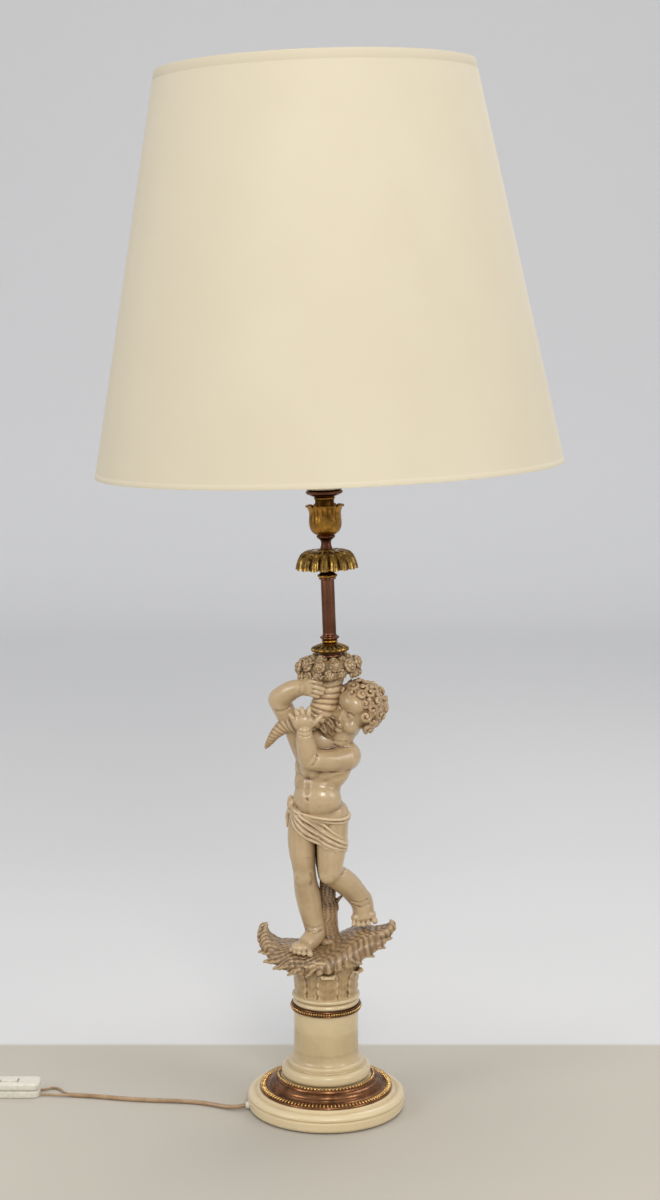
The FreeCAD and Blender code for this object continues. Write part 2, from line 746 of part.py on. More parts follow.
wreath_z = float(stem_foot) - num("wreath_drop")
roses = []
for index in range(int(num("rose_count"))):
    angle = math.radians(index * 360 / num("rose_count"))
    spot = V(num("wreath_x") + num("wreath_ring_radius") * math.cos(angle),
             num("wreath_ring_radius") * math.sin(angle), wreath_z)
    outward_turn = FreeCAD.Rotation(Z_AXIS, V(math.cos(angle), math.sin(angle), 0.3))
    roses.append(bud(f"rose_{index}", FreeCAD.Placement(spot, outward_turn), S["rose_radius"],
                     S["rose_radius"] * 2, sides=5))
ring_tube = S["wreath_tube_radius"]
garland = turned("garland", [
    (S["wreath_ring_radius"] - ring_tube, zero),
    (S["wreath_ring_radius"] - ring_tube * 0.5, zero - ring_tube),
    (S["wreath_ring_radius"] + ring_tube, zero - ring_tube * 0.5),
    (S["wreath_ring_radius"] + ring_tube, zero + ring_tube * 0.5),
    (S["wreath_ring_radius"] - ring_tube * 0.5, zero + ring_tube),
], FreeCAD.Placement(V(num("wreath_x"), 0, wreath_z - 1.0), FreeCAD.Rotation()), keep=False)
wreath_raw = fused("wreath_raw", [garland] + roses)

# --- capital: a bell with a ring of upright leaves -------------------------------------------------
capital_low = S["drum_top"] + 0.2
bell = turned("capital_bell", [
    (passage, capital_low),
    (S["capital_foot_radius"] - 1.2, capital_low),
    (S["capital_foot_radius"] - 1.2, capital_low + S["capital_foot_height"], 0.7),
    (S["bell_radius"], capital_low + S["capital_foot_height"]),
    (S["bell_mouth_radius"], S["bell_top"], -0.22),
    (passage, S["bell_top"]),
], keep=False)
leaf_foot = capital_low + S["capital_foot_height"] - 0.5
leaves = []
for index in range(int(num("leaf_count"))):
    body = doc.addObject("PartDesign::Body", f"capital_leaf_{index}")
    half = S["leaf_width"] / 2
    sketch = outline_sketch(body, f"capital_leaf_outline_{index}", "YZ_Plane", [
        (zero - half * 0.7, zero),
        (half * 0.7, zero),
        (half, S["leaf_height"] * 0.55),
        (half * 0.45, S["leaf_height"] * 0.86),
        (zero, S["leaf_height"]),
        (zero - half * 0.45, S["leaf_height"] * 0.86),
        (zero - half, S["leaf_height"] * 0.55),
    ])
    pad = body.newObject("PartDesign::Pad", f"capital_leaf_pad_{index}")
    pad.Profile = (sketch, [""])
    pad.setExpression("Length", (S["leaf_thickness"] * 2).formula)
    angle = index * 360 / num("leaf_count") - 90
    lean = FreeCAD.Rotation(Z_AXIS, angle).multiply(FreeCAD.Rotation(Y_AXIS, 5.0))
    out = FreeCAD.Rotation(Z_AXIS, angle).multVec(
        V(num("bell_radius") - num("leaf_thickness") - 0.6, 0, float(leaf_foot)))
    body.Placement = FreeCAD.Placement(out, lean)
    leaves.append(body)
capital_raw = fused("capital_raw", [bell] + leaves)
# --- drape: a shell over the hips, kept between slanted planes ------------------------------------
hip_rings = []
for place in ("seat", "hips", "belt", "belly"):
    middle = V(num(f"torso_{place}_x"), num(f"torso_{place}_y"), num(f"torso_{place}_z"))
    grow = num("drape_thickness")
    hip_rings.append(many_sided(
        f"drape_{place}", FreeCAD.Placement(middle, FreeCAD.Rotation()),
        oval(num(f"torso_{place}_wide") + grow + 1.5, num(f"torso_{place}_deep") + grow, LIMB_SIDES)))
drape_shell = block_through("drape_shell", hip_rings)


def slab(name, middle_z, thickness, slope, y_low, y_high):
    """A slanted board across the hips: it falls from left to right by slope degrees."""
    board = doc.addObject("Part::Box", name)
    board.Length, board.Width, board.Height = 120, y_high - y_low, float(thickness)
    turn = FreeCAD.Rotation(Y_AXIS, float(slope))
    start = turn.multVec(V(-60, 0, -float(thickness) / 2))
    board.Placement = FreeCAD.Placement(
        V(num("torso_hips_x") + start.x, y_low, float(middle_z) + start.z), turn)
    return board


band_slab = slab("band_slab", S["drape_band_z"], S["drape_band_height"], S["drape_band_slope"], -40, 40)
swag_slab = slab("swag_slab", S["drape_swag_z"], S["drape_swag_height"], S["drape_swag_slope"], -40, 2)
back_slab = slab("back_slab", S["drape_swag_z"] + 4.0, S["drape_swag_height"] * 2,
                 S["drape_band_slope"], 2, 40)
knot = ball("drape_knot", V(num("knot_x"), num("knot_y"), num("knot_z")), S["knot_radius"],
            S["knot_radius"], S["knot_radius"] * 1.3)
drape_raw = fused("drape_raw", [
    common("drape_cloth", drape_shell, fused("drape_slabs", [band_slab, swag_slab, back_slab])), knot])

# Each carved piece gives way to the ones it is set against, so they meet face to face.
kept(cut("leaf_platform", platform_raw, bore), "leaf_platform")
kept(cut("capital", capital_raw, platform_raw), "capital")
kept(cut("torso", torso_raw, bore, horn_raw), "torso")
kept(cut("standing_leg", standing_raw, torso_raw, platform_raw, bore), "standing_leg")
kept(cut("bent_leg", bent_raw, torso_raw, standing_raw, platform_raw, bore), "bent_leg")
kept(cut("tree_stump", stump_raw, standing_raw, bent_raw, torso_raw, platform_raw, bore), "tree_stump")
coupler_room = cylinder("coupler_room", S["coupler_radius"] + gap, S["coupler_length"] + 8.0,
                        rod_placement(float(coupler_low) - 0.5))
kept(cut("horn_of_plenty", horn_raw, bore, coupler_room), "horn_of_plenty")
wreath_well = cylinder("wreath_well", S["foot_ring_radius"] + 0.6, S["wreath_ring_radius"],
                       leaning(along=-num("foot_ring_drop") - 0.6))
kept(cut("reaching_arm", reaching_loft, horn_raw, torso_raw), "reaching_arm")
kept(cut("folded_arm", folded_loft, horn_raw, torso_raw, reaching_loft), "folded_arm")
kept(cut("head", head_raw, torso_raw, horn_raw), "head")
kept(cut("flower_wreath", wreath_raw, horn_raw, bore, wreath_well), "flower_wreath")
kept(largest("hair_block", cut("hair", hair_raw, head_raw, torso_raw, horn_raw, wreath_raw)), "hair")
kept(cut("drape", drape_raw, torso_raw, standing_raw, bent_raw, stump_raw), "drape")


# --- gilt stem, turned about the leaning axis --------------------------------------------------------
tube_hole = S["upper_rod_radius"] + 0.2
collar_low = S["foot_ring_height"] + 0.4
collar_high = collar_low + S["gadroon_height"]
ring_low_at = collar_high + 0.3
ring_high_at = ring_low_at + S["lower_ring_height"]
tube_low = ring_high_at + 0.3
tube_high = tube_low + S["tube_length"]
top_ring_low = tube_high + 0.3
top_ring_high = top_ring_low + S["upper_ring_height"]
pan_rim = top_ring_high + 0.3
pan_top = pan_rim + S["pan_drop"] + S["pan_crown"]
neck_low = pan_top + 0.3
neck_high = neck_low + S["neck_length"]
cup_low = neck_high + 0.3
cup_high = cup_low + S["cup_height"]
nozzle_high = cup_low + S["nozzle_height"]
dish_low = nozzle_high + 0.3
dish_high = dish_low + S["dish_height"]
holder_low = dish_high + 0.3

turned("foot_ring", [
    (tube_hole, zero - S["foot_ring_drop"]),
    (S["foot_ring_radius"] - 3.4, zero - S["foot_ring_drop"]),
    (S["foot_ring_radius"] - 1.8, zero - 2.6),
    (S["foot_ring_radius"], zero + 0.6),
    (S["foot_ring_radius"], zero + 2.6),
    (S["foot_ring_radius"] - 1.0, S["foot_ring_height"]),
    (tube_hole, S["foot_ring_height"]),
], leaning())

collar_rings = []
for radius, dip, level in ((num("gadroon_low_radius") - 1.0, 0.6, 0.0), (num("gadroon_radius"), 1.6, 3.4),
                           (num("gadroon_radius") - 1.2, 1.6, 5.4),
                           (num("lower_neck_radius") + 2.0, 0.2, num("gadroon_height"))):
    collar_rings.append(many_sided(f"collar_{len(collar_rings)}", leaning(along=float(collar_low) + level),
                                   lobed(radius, dip, int(num("gadroon_count")))))
collar_hole = cylinder("collar_hole", tube_hole, S["gadroon_height"] * 2,
                       leaning(along=float(collar_low) - 4.0))
kept(cut("gadroon_collar", block_through("collar_block", collar_rings), collar_hole), "gadroon_collar")

turned("lower_stem_ring", [
    (tube_hole, ring_low_at),
    (S["lower_neck_radius"] + 1.8, ring_low_at),
    (S["lower_neck_radius"], ring_low_at + 2.0),
    (S["lower_neck_radius"], ring_low_at + 4.0),
    (S["lower_ring_radius"] - 0.6, ring_low_at + 6.0),
    (S["lower_ring_radius"], ring_low_at + 7.4),
    (S["lower_ring_radius"] - 0.6, ring_low_at + 9.0),
    (S["tube_radius"] + 0.6, ring_high_at),
    (tube_hole, ring_high_at),
], leaning())
turned("stem_tube", [
    (tube_hole, tube_low),
    (S["tube_radius"], tube_low),
    (S["tube_radius"] - 0.2, tube_high),
    (tube_hole, tube_high),
], leaning())
turned("upper_stem_ring", [
    (tube_hole, top_ring_low),
    (S["tube_radius"] + 0.8, top_ring_low),
    (S["tube_radius"] + 1.6, top_ring_low + 1.2),
    (S["tube_radius"] + 1.0, top_ring_low + 2.6),
    (S["upper_ring_radius"] - 0.8, top_ring_low + 3.2),
    (S["upper_ring_radius"], top_ring_low + 4.8),
    (S["upper_ring_radius"] - 0.8, top_ring_low + 6.4),
    (S["neck_radius"] + 1.4, top_ring_low + 8.6),
    (S["neck_radius"] + 1.2, top_ring_high),
    (tube_hole, top_ring_high),
], leaning())


# The drip pan is a thin dome that droops to a scalloped rim, fluted all the way up.
def pan_dome(name, shrink):
    rings = []
    for radius, dip, level in ((num("pan_radius"), 2.4, 0.0), (num("pan_radius") - 1.4, 2.2, 4.6),
                               (num("pan_radius") - 6.4, 1.4, 12.0),
                               (num("neck_radius") + 4.0, 0.2, float(pan_top - pan_rim) - 1.2)):
        rings.append(many_sided(f"{name}_{len(rings)}", leaning(along=float(pan_rim) + level - shrink),
                                lobed(radius - shrink, dip, int(num("pan_lobes")))))
    return block_through(name, rings)


pan_hole = cylinder("pan_hole", tube_hole, S["pan_drop"] * 4.0,
                    leaning(along=float(pan_rim) - num("pan_drop")))
pan_hub = cylinder("pan_hub", S["neck_radius"] + 1.2, S["pan_drop"] + S["pan_crown"],
                   leaning(along=float(pan_rim)))
pan_shell = cut("pan_shell", pan_dome("pan_outside", 0.0), pan_dome("pan_inside", num("pan_thickness")))
kept(cut("drip_pan", fused("drip_pan_raw", [pan_shell, pan_hub]), pan_hole), "drip_pan")

neck_hole = S["upper_rod_bore"] + 0.2
turned("stem_neck", [
    (neck_hole, neck_low),
    (S["neck_radius"] + 2.6, neck_low),
    (S["neck_radius"], neck_low + 3.0),
    (S["neck_radius"], neck_low + 8.0),
    (S["neck_collar_radius"] - 0.6, neck_low + 10.6),
    (S["neck_collar_radius"], neck_low + 11.8),
    (S["neck_collar_radius"] - 0.6, neck_low + 13.0),
    (S["cup_foot_radius"], neck_high),
    (neck_hole, neck_high),
], leaning())

nipple_hole = S["nipple_radius"] + 0.2
cup_outline = [
    (nipple_hole, cup_low),
    (S["cup_foot_radius"], cup_low),
    (S["cup_radius"] - 0.4, cup_low + 12.0, 0.3),
    (S["cup_radius"] - 0.3, cup_high - 6.0, 0.14),
    (S["cup_radius"] - 0.3 - S["cup_wall"], cup_high - 6.0),
    (S["cup_radius"] - 0.4 - S["cup_wall"], cup_low + 12.0, -0.14),
    (S["cup_foot_radius"] + 0.5, cup_low + 3.0, -0.3),
    (nipple_hole, cup_low + 3.0),
]
cup_bowl = turned("cup_bowl", cup_outline, leaning(), keep=False)
lips = []
for index in range(int(num("cup_leaf_count"))):
    spin = FreeCAD.Rotation(Z_AXIS, 45.0 + index * 360 / num("cup_leaf_count"))
    spot = spin.multVec(V(num("cup_radius") + 0.8, 0, float(cup_high) - 4.0))
    tilt = spin.multiply(FreeCAD.Rotation(Y_AXIS, -38))
    lip = doc.addObject("Part::Wedge", f"cup_lip_{index}")
    lip.Xmin, lip.Xmax = -3.0, 4.6
    lip.Ymin, lip.Ymax = -num("cup_wall") / 2, num("cup_wall") / 2
    lip.Zmin, lip.Zmax = -6.5, 6.5
    lip.Placement = leaning().multiply(FreeCAD.Placement(spot, tilt))
    lips.append(lip)
cup_core = cylinder("cup_core", S["cup_radius"] - S["cup_wall"] - 1.0, S["cup_height"],
                    leaning(along=float(cup_low) + 12.0))
kept(cut("tulip_cup", fused("tulip_cup_raw", [cup_bowl] + lips), cup_core), "tulip_cup")

turned("candle_nozzle", [
    (nipple_hole, cup_low + 3.3),
    (S["nozzle_radius"] - 2.0, cup_low + 3.3),
    (S["nozzle_radius"], cup_low + 8.0),
    (S["nozzle_radius"], nozzle_high - 4.0),
    (S["nozzle_radius"] + 0.6, nozzle_high - 3.0),
    (S["nozzle_radius"] - 0.2, nozzle_high),
    (nipple_hole, nozzle_high),
], leaning())
turned("holder_dish", [
    (nipple_hole, dish_low),
    (S["nozzle_radius"] - 0.2, dish_low),
    (S["dish_low_radius"], dish_low + 0.8),
    (S["dish_radius"], dish_high - 1.6),
    (S["dish_radius"], dish_high),
    (nipple_hole, dish_high),
], leaning())

# --- threaded tube of the stem, coupler and upper nipple ---------------------------------------------
upper_low = zero - (S["foot_ring_drop"] + 3.0)
stem_rod = cylinder("stem_rod", S["upper_rod_radius"], S["upper_rod_length"],
                    leaning(along=float(upper_low)))
stem_rod_hole = cylinder("stem_rod_hole", S["upper_rod_bore"], S["upper_rod_length"] + 4.0,
                         leaning(along=float(upper_low) - 2.0))
kept(cut("stem_threaded_tube", stem_rod, stem_rod_hole), "stem_threaded_tube")
coupler_body = cylinder("coupler_body", S["coupler_radius"], S["coupler_length"],
                        rod_placement(float(coupler_low)))
coupler_low_hole = cylinder("coupler_low_hole", S["rod_radius"] + 0.15, S["coupler_length"] * 0.55,
                            rod_placement(float(coupler_low) - 1.0))
coupler_high_hole = cylinder("coupler_high_hole", S["upper_rod_radius"] + 0.15, S["coupler_length"],
                             leaning(along=float(upper_low) - 1.0))
coupler_lead_hole = cylinder("coupler_lead_hole", S["lead_radius"] + 0.8, S["coupler_length"] + 4.0,
                             rod_placement(float(coupler_low) - 2.0))
kept(cut("coupler", coupler_body, coupler_low_hole, coupler_high_hole, coupler_lead_hole), "coupler")
nipple_low = cup_low + 0.4
nipple_high = holder_low + 8.0
turned("holder_nipple", [
    (S["upper_rod_bore"], nipple_low),
    (S["nipple_radius"], nipple_low),
    (S["nipple_radius"], nipple_high),
    (S["upper_rod_bore"], nipple_high),
], leaning())

# --- lampholder, shade rings, bulb -------------------------------------------------------------------
skirt_top = holder_low + S["holder_skirt_height"]
sleeve_top = holder_low + S["holder_height"]
holder_inner = S["holder_radius"] - S["holder_wall"]
turned("holder_skirt", [
    (nipple_hole, holder_low),
    (S["holder_radius"] - 6.0, holder_low),
    (S["holder_radius"] - 1.6, holder_low + 4.0),
    (S["holder_radius"], skirt_top - 4.0),
    (S["holder_radius"], skirt_top),
    (holder_inner, skirt_top),
    (holder_inner, skirt_top - 3.6),
    (S["holder_radius"] - 3.8, holder_low + 5.6),
    (S["holder_radius"] - 7.6, holder_low + 2.4),
    (nipple_hole, holder_low + 2.4),
], leaning())
turned("holder_sleeve", [
    (holder_inner, skirt_top + 0.2),
    (S["holder_radius"] - 0.2, skirt_top + 0.2),
    (S["holder_radius"] - 0.2, sleeve_top),
    (S["holder_radius"] - 3.6, sleeve_top),
    (S["holder_radius"] - 3.6, sleeve_top - 1.6),
    (holder_inner, sleeve_top - 2.4),
], leaning())
insert_low = skirt_top - 2.0
insert_high = insert_low + S["insert_height"]
turned("holder_insert", [
    (S["lead_radius"] + 1.0, insert_low),
    (holder_inner - 0.4, insert_low),
    (holder_inner - 0.4, insert_high),
    (S["lead_radius"] + 1.0, insert_high),
], leaning())
contact_top = insert_high + 2.0
turned("holder_contact", [
    (zero, insert_high + 0.2),
    (S["lead_radius"] + 3.0, insert_high + 0.2),
    (S["lead_radius"] + 2.0, contact_top),
    (zero, contact_top),
], leaning())

seat = holder_low + S["lower_ring_seat"]
ring_inner = S["holder_radius"] + 0.1
turned("lower_shade_ring", [
    (ring_inner, seat - S["shade_ring_height"]),
    (S["shade_ring_radius"] - 1.0, seat - S["shade_ring_height"]),
    (S["shade_ring_radius"], seat - 1.0),
    (S["shade_ring_radius"], seat),
    (ring_inner, seat),
], leaning())
fitter_low = seat + 0.2
fitter_high = fitter_low + S["fitter_thickness"]
turned("upper_shade_ring", [
    (ring_inner, fitter_high + 0.2),
    (S["shade_ring_radius"], fitter_high + 0.2),
    (S["shade_ring_radius"], fitter_high + 1.2),
    (S["shade_ring_radius"] - 1.0, fitter_high + S["shade_ring_height"]),
    (ring_inner, fitter_high + S["shade_ring_height"]),
], leaning())

cap_low = contact_top + 0.25
cap_high = cap_low + S["bulb_cap_length"]
turned("bulb_cap", [
    (zero, cap_low),
    (S["bulb_cap_radius"] - 8.0, cap_low),
    (S["bulb_cap_radius"], cap_low + 3.0),
    (S["bulb_cap_radius"], cap_high),
    (zero, cap_high),
], leaning())
bulb_high = cap_high + S["bulb_length"]
turned("bulb_glass", [
    (zero, cap_high),
    (S["bulb_cap_radius"] + 0.4, cap_high),
    (S["bulb_radius"] - 4.0, cap_high + 30.0, -0.12),
    (S["bulb_radius"] - 4.0, bulb_high - 15.0, 0.36),
    (S["bulb_cap_radius"] * 0.3, bulb_high, 0.26),
    (zero, bulb_high),
], leaning())

# --- shade: a tapered drum of lined fabric on two wire rings ------------------------------------------
shade_low = S["shade_bottom"]
shade_high = shade_low + S["shade_height"]
shade_place = leaning(x=num("shade_off_centre"))
turned("shade_cover", [
    (S["shade_low_radius"] - S["shade_wall"], shade_low),
    (S["shade_low_radius"], shade_low),
    (S["shade_top_radius"], shade_high),
    (S["shade_top_radius"] - S["shade_wall"], shade_high),
], shade_place)


def wire_ring(name, cover_radius, height, keep):
    """A wire ring just inside the cover's edge, with a square section."""
    wire = S["wire_radius"]
    middle = cover_radius - S["shade_wall"] - wire - 0.8
    return turned(name, [
        (middle - wire, height),
        (middle, height - wire),
        (middle + wire, height),
        (middle, height + wire),
    ], shade_place, keep=keep)


low_ring_z = shade_low + S["wire_radius"] + 2.0
low_ring = wire_ring("shade_low_wire", S["shade_low_radius"], low_ring_z, False)
wire_ring("shade_top_ring", S["shade_top_radius"], shade_high - S["wire_radius"] - 2.0, True)
plate = turned("fitter_plate", [
    (S["fitter_bore"], fitter_low),
    (S["shade_ring_radius"] + 2.5, fitter_low),
    (S["shade_ring_radius"] + 2.5, fitter_high),
    (S["fitter_bore"], fitter_high),
], leaning(), keep=False)
arms = []
fitter_middle = float(fitter_low) + num("fitter_thickness") / 2
ring_middle = float(low_ring_z)
reach = num("shade_low_radius") - num("shade_wall") - num("wire_radius") - 0.8
for index in range(int(num("arm_count"))):
    angle = math.radians(30 + index * 360 / num("arm_count"))
    way = V(math.cos(angle), math.sin(angle), 0)
    start = way * (num("shade_ring_radius") + 1.0) + V(0, 0, fitter_middle)
    knee = way * (num("shade_ring_radius") + 14.0) + V(0, 0, fitter_middle)
    end = way * reach + V(num("shade_off_centre"), 0, ring_middle)
    for part_index, (a, b) in enumerate(((start, knee), (knee, end))):
        run = b - a
        longer = run.Length + num("arm_radius") * 0.5
        arm = doc.addObject("Part::Prism", f"arm_{index}_{part_index}")
        arm.Polygon = 6
        bind(arm, Circumradius=S["arm_radius"])
        arm.Height = longer
        arm.Placement = leaning().multiply(FreeCAD.Placement(a, FreeCAD.Rotation(Z_AXIS, run)))
        arms.append(arm)
kept(fused("shade_fitter", [plate, low_ring] + arms), "shade_fitter")


# --- routes of tubes: straight runs joined by tangent arcs ---------------------------------------------
def arc_through(start, corner, end):
    """The arc that leaves start towards corner and reaches end coming from corner."""
    middle = (start + end) * 0.5
    rise = corner - middle
    half = (end - start).Length / 2
    turn = math.atan2(rise.Length, half)
    crown = middle + rise * (math.tan(turn / 2) / math.tan(turn))
    return Part.Arc(start, crown, end).toShape()


def rounded_route(points, name, radii=None):
    """Edges along the points. Each corner's arc takes 0.45 of its shorter run."""
    edges = []
    here = points[0]
    shown = []
    for index in range(1, len(points) - 1):
        before, corner, after = points[index - 1], points[index], points[index + 1]
        back, on = (before - corner), (after - corner)
        reach = 0.45 * min(back.Length, on.Length)
        half_turn = (math.pi - back.getAngle(on)) / 2
        if radii and radii.get(index):
            reach = radii[index] * math.tan(half_turn)
        shown.append(round(reach / math.tan(half_turn), 1))
        start = corner + back.normalize() * reach
        end = corner + on.normalize() * reach
        edges.append(Part.LineSegment(here, start).toShape())
        edges.append(arc_through(start, corner, end))
        here = end
    edges.append(Part.LineSegment(here, points[-1]).toShape())
    print(name, "bend radii", shown, "length", round(sum(e.Length for e in edges), 1))
    return edges


def tube_shape(edges, radius):
    """A tube along the edges, with a six-sided section as wide as the flex."""
    wire = Part.Wire(edges)
    start = wire.OrderedEdges[0]
    where = start.valueAt(start.FirstParameter)
    way = start.tangentAt(start.FirstParameter)
    side = way.cross(Z_AXIS).normalize()
    up = side.cross(way)
    corners = [where + side * (float(radius) * math.cos(math.radians(a)))
               + up * (float(radius) * math.sin(math.radians(a))) for a in range(30, 391, 60)]
    corners[-1] = corners[0]
    ring = Part.makePolygon(corners)
    solid = wire.makePipeShell([ring], True, False)
    expected = 1.5 * math.sqrt(3) * float(radius) ** 2 * wire.Length
    print("tube volume over section times length", round(solid.Volume / expected, 4))
    return solid


def tube(label, edges, radius):
    item = doc.addObject("Part::Feature", label)
    item.Shape = tube_shape(edges, radius)
    return kept(item, label)


# --- inlet bush and inner lead ---------------------------------------------------------------------------
outward = inlet_turn.multVec(X_AXIS)
inlet_z = num("inlet_height")
bush_start = outward * (num("plinth_radius") - num("bush_length")) + V(0, 0, inlet_z)
bush_turn = FreeCAD.Rotation(Z_AXIS, outward)
bush_barrel = cylinder("bush_barrel", S["channel_height"] / 2 - 0.4, S["bush_length"] + 0.6,
                       FreeCAD.Placement(bush_start, bush_turn))
bush_mouth = outward * (num("plinth_radius") + 0.3) + V(0, 0, inlet_z)
bush_flange = doc.addObject("Part::Cone", "bush_flange")
bind(bush_flange, Radius1=S["channel_height"] / 2 + 0.1, Radius2=S["flex_radius"] + 0.6)
bush_flange.Height = 3.0
bush_flange.Placement = FreeCAD.Placement(bush_mouth, bush_turn)
bush_hole = cylinder("bush_hole", S["flex_radius"] + 0.1, S["bush_length"] + 20.0,
                     FreeCAD.Placement(bush_start - outward * 5.0, bush_turn))
kept(cut("flex_bush", fused("flex_bush_raw", [bush_barrel, bush_flange]), bush_hole), "flex_bush")
exit_point = bush_mouth + outward * 3.0

turn_room = 6.0
rod_way = rod_placement().Rotation.multVec(Z_AXIS)
lead_corner = V(0, 0, inlet_z)
stem_way = leaning().Rotation.multVec(Z_AXIS)
kink = leaning().Base
lead_top = leaning(along=float(insert_low) - 1.0).Base
lead_points = [exit_point, lead_corner, kink - rod_way * 12.0, kink + stem_way * 12.0, lead_top]
tube("inner_lead", rounded_route(lead_points, "inner_lead", {1: turn_room, 2: 300.0, 3: 300.0}),
     S["lead_radius"] - 0.1)

# --- flex on the table: route points chosen to follow the real one ---------------------------------------
rest_z = num("flex_radius") + 0.2
flex_points = [
    exit_point,
    exit_point + outward * 12.0 + V(0, 0, -1.6),
    V(-106.0, -8.5, rest_z),
    V(-127.0, 1.0, rest_z),
    V(-150.0, 4.5, rest_z),
    V(-178.0, 6.5, rest_z),
    V(-207.0, 11.0, rest_z),
    V(-234.0, 17.5, rest_z),
    V(-258.0, 21.0, rest_z),
]
tube("flex_run", rounded_route(flex_points, "flex_run"), S["flex_radius"])

switch_right = num("switch_x") + num("switch_length") / 2
switch_left = num("switch_x") - num("switch_length") / 2
split_gap = num("core_radius") + 0.05
front_core = [
    V(-258.5, 21.0 - split_gap, rest_z),
    V(-268.0, 21.0 - split_gap, rest_z),
    V(-280.0, 22.5, rest_z - 0.4),
    V(switch_right + 0.7, 23.0, rest_z),
]
rear_core = [
    V(-258.5, 21.0 + split_gap, rest_z),
    V(-264.0, 23.5 + split_gap, rest_z),
    V(-268.5, 30.5, rest_z - 0.4),
    V(-272.0, 38.5, rest_z - 0.8),
    V(-278.5, 42.5, rest_z - 0.8),
    V(-285.5, 39.5, rest_z - 0.4),
    V(switch_right + 0.7, 34.5, rest_z),
]
cores = [tube_shape(rounded_route(route, name), S["core_radius"])
         for name, route in (("front_core", front_core), ("rear_core", rear_core))]
split_cores = doc.addObject("Part::Feature", "split_cores")
split_cores.Shape = Part.makeCompound(cores)
kept(split_cores, "split_cores")

# --- in-line switch: two shells, a rocker on a pin and two screws ----------------------------------------
def rounded_box(name, length, width, height, low_z):
    """A box about the switch's middle whose upright edges are rounded."""
    box = doc.addObject("Part::Box", name + "_box")
    bind(box, Length=length, Width=width, Height=height)
    box.Placement.Base = V(num("switch_x") - float(length) / 2, num("switch_y") - float(width) / 2,
                           low_z)
    doc.recompute()
    upright = [i + 1 for i, e in enumerate(box.Shape.Edges)
               if abs(e.tangentAt(e.FirstParameter).z) > 0.99]
    rounded = doc.addObject("Part::Fillet", name)
    rounded.Base = box
    rounded.Edges = [(i, num("switch_end_round"), num("switch_end_round")) for i in upright]
    return rounded


half_height = S["switch_height"] / 2
wall = S["switch_wall"]
low_block = rounded_box("switch_low_block", S["switch_length"], S["switch_width"], half_height - 0.1, 0.0)
high_block = rounded_box("switch_high_block", S["switch_length"], S["switch_width"], half_height,
                         float(half_height))
low_room = doc.addObject("Part::Box", "switch_low_room")
bind(low_room, Length=S["switch_length"] - wall * 6, Width=S["switch_width"] - wall * 2, Height=half_height)
low_room.Placement.Base = V(num("switch_x") - float(low_room.Length) / 2, 0, 0)
doc.recompute()
room_x = num("switch_x") - low_room.Length.Value / 2
room_y = num("switch_y") - low_room.Width.Value / 2
low_room.Placement.Base = V(room_x, room_y, num("switch_wall"))
high_room = doc.addObject("Part::Box", "switch_high_room")
bind(high_room, Length=S["switch_length"] - wall * 6, Width=S["switch_width"] - wall * 2,
     Height=half_height - wall)
high_room.Placement.Base = V(room_x, room_y, float(half_height) - 0.01)
slot = doc.addObject("Part::Box", "rocker_slot")
bind(slot, Length=S["rocker_length"] + 1.6, Width=S["rocker_width"] + 1.2, Height=S["switch_height"])
slot.Placement.Base = V(num("switch_x") - (num("rocker_length") + 1.6) / 2,
                        num("switch_y") - (num("rocker_width") + 1.2) / 2, float(half_height))
pin_z = num("switch_height") - 3.6
pin_hole = cylinder("pin_hole", S["rocker_pin_radius"] + 0.06, S["switch_width"] - 8.0)
pin_hole.Placement = FreeCAD.Placement(
    V(num("switch_x"), num("switch_y") - (num("switch_width") - 8.0) / 2, pin_z),
    FreeCAD.Rotation(X_AXIS, -90))
screw_spots = [num("switch_x") - 24.0, num("switch_x") + 24.0]
screw_rooms = [cylinder(f"screw_room_{i}", S["screw_radius"] + 0.15, S["switch_height"] - 2.0,
                        FreeCAD.Placement(V(x, num("switch_y") - 6.0, -0.5), FreeCAD.Rotation()))
               for i, x in enumerate(screw_spots)]
kept(cut("switch_lower_shell", low_block, low_room, *screw_rooms), "switch_lower_shell")
cheeks = []
for index, side in enumerate((-1, 1)):
    cheek = doc.addObject("Part::Box", f"rocker_cheek_{index}")
    bind(cheek, Length=wall * 4, Width=wall, Height=half_height - 0.4)
    start_y = num("switch_y") + side * (num("rocker_width") / 2 + 0.6 + num("switch_wall") / 2)
    cheek.Placement.Base = V(num("switch_x") - num("switch_wall") * 2,
                             start_y - num("switch_wall") / 2, float(half_height) + 0.2)
    cheeks.append(cheek)
high_shell = cut("switch_high_hollow", high_block, high_room, *screw_rooms)
kept(cut("switch_upper_shell", fused("switch_upper_raw", [high_shell] + cheeks), slot, pin_hole),
     "switch_upper_shell")
rocker = doc.addObject("Part::Box", "rocker_block")
bind(rocker, Length=S["rocker_length"], Width=S["rocker_width"], Height=S["rocker_height"])
rocker.Placement.Base = V(num("switch_x") - num("rocker_length") / 2,
                          num("switch_y") - num("rocker_width") / 2,
                          num("switch_height") + 2.0 - num("rocker_height"))
rocker_dip = cylinder("rocker_dip", S["rocker_length"] * 1.6, S["rocker_width"] + 4.0)
rocker_dip.Placement = FreeCAD.Placement(
    V(num("switch_x"), num("switch_y") - num("rocker_width") / 2 - 2.0,
      num("switch_height") + 1.0 + num("rocker_length") * 1.6), FreeCAD.Rotation(X_AXIS, -90))
rocker_hole = cylinder("rocker_hole", S["rocker_pin_radius"] + 0.02, S["switch_width"])
rocker_hole.Placement = FreeCAD.Placement(
    V(num("switch_x"), num("switch_y") - num("switch_width") / 2, pin_z), FreeCAD.Rotation(X_AXIS, -90))
kept(cut("switch_rocker", rocker, rocker_dip, rocker_hole), "switch_rocker")
pin = cylinder("rocker_pin_rod", S["rocker_pin_radius"], S["switch_width"] - 9.0)
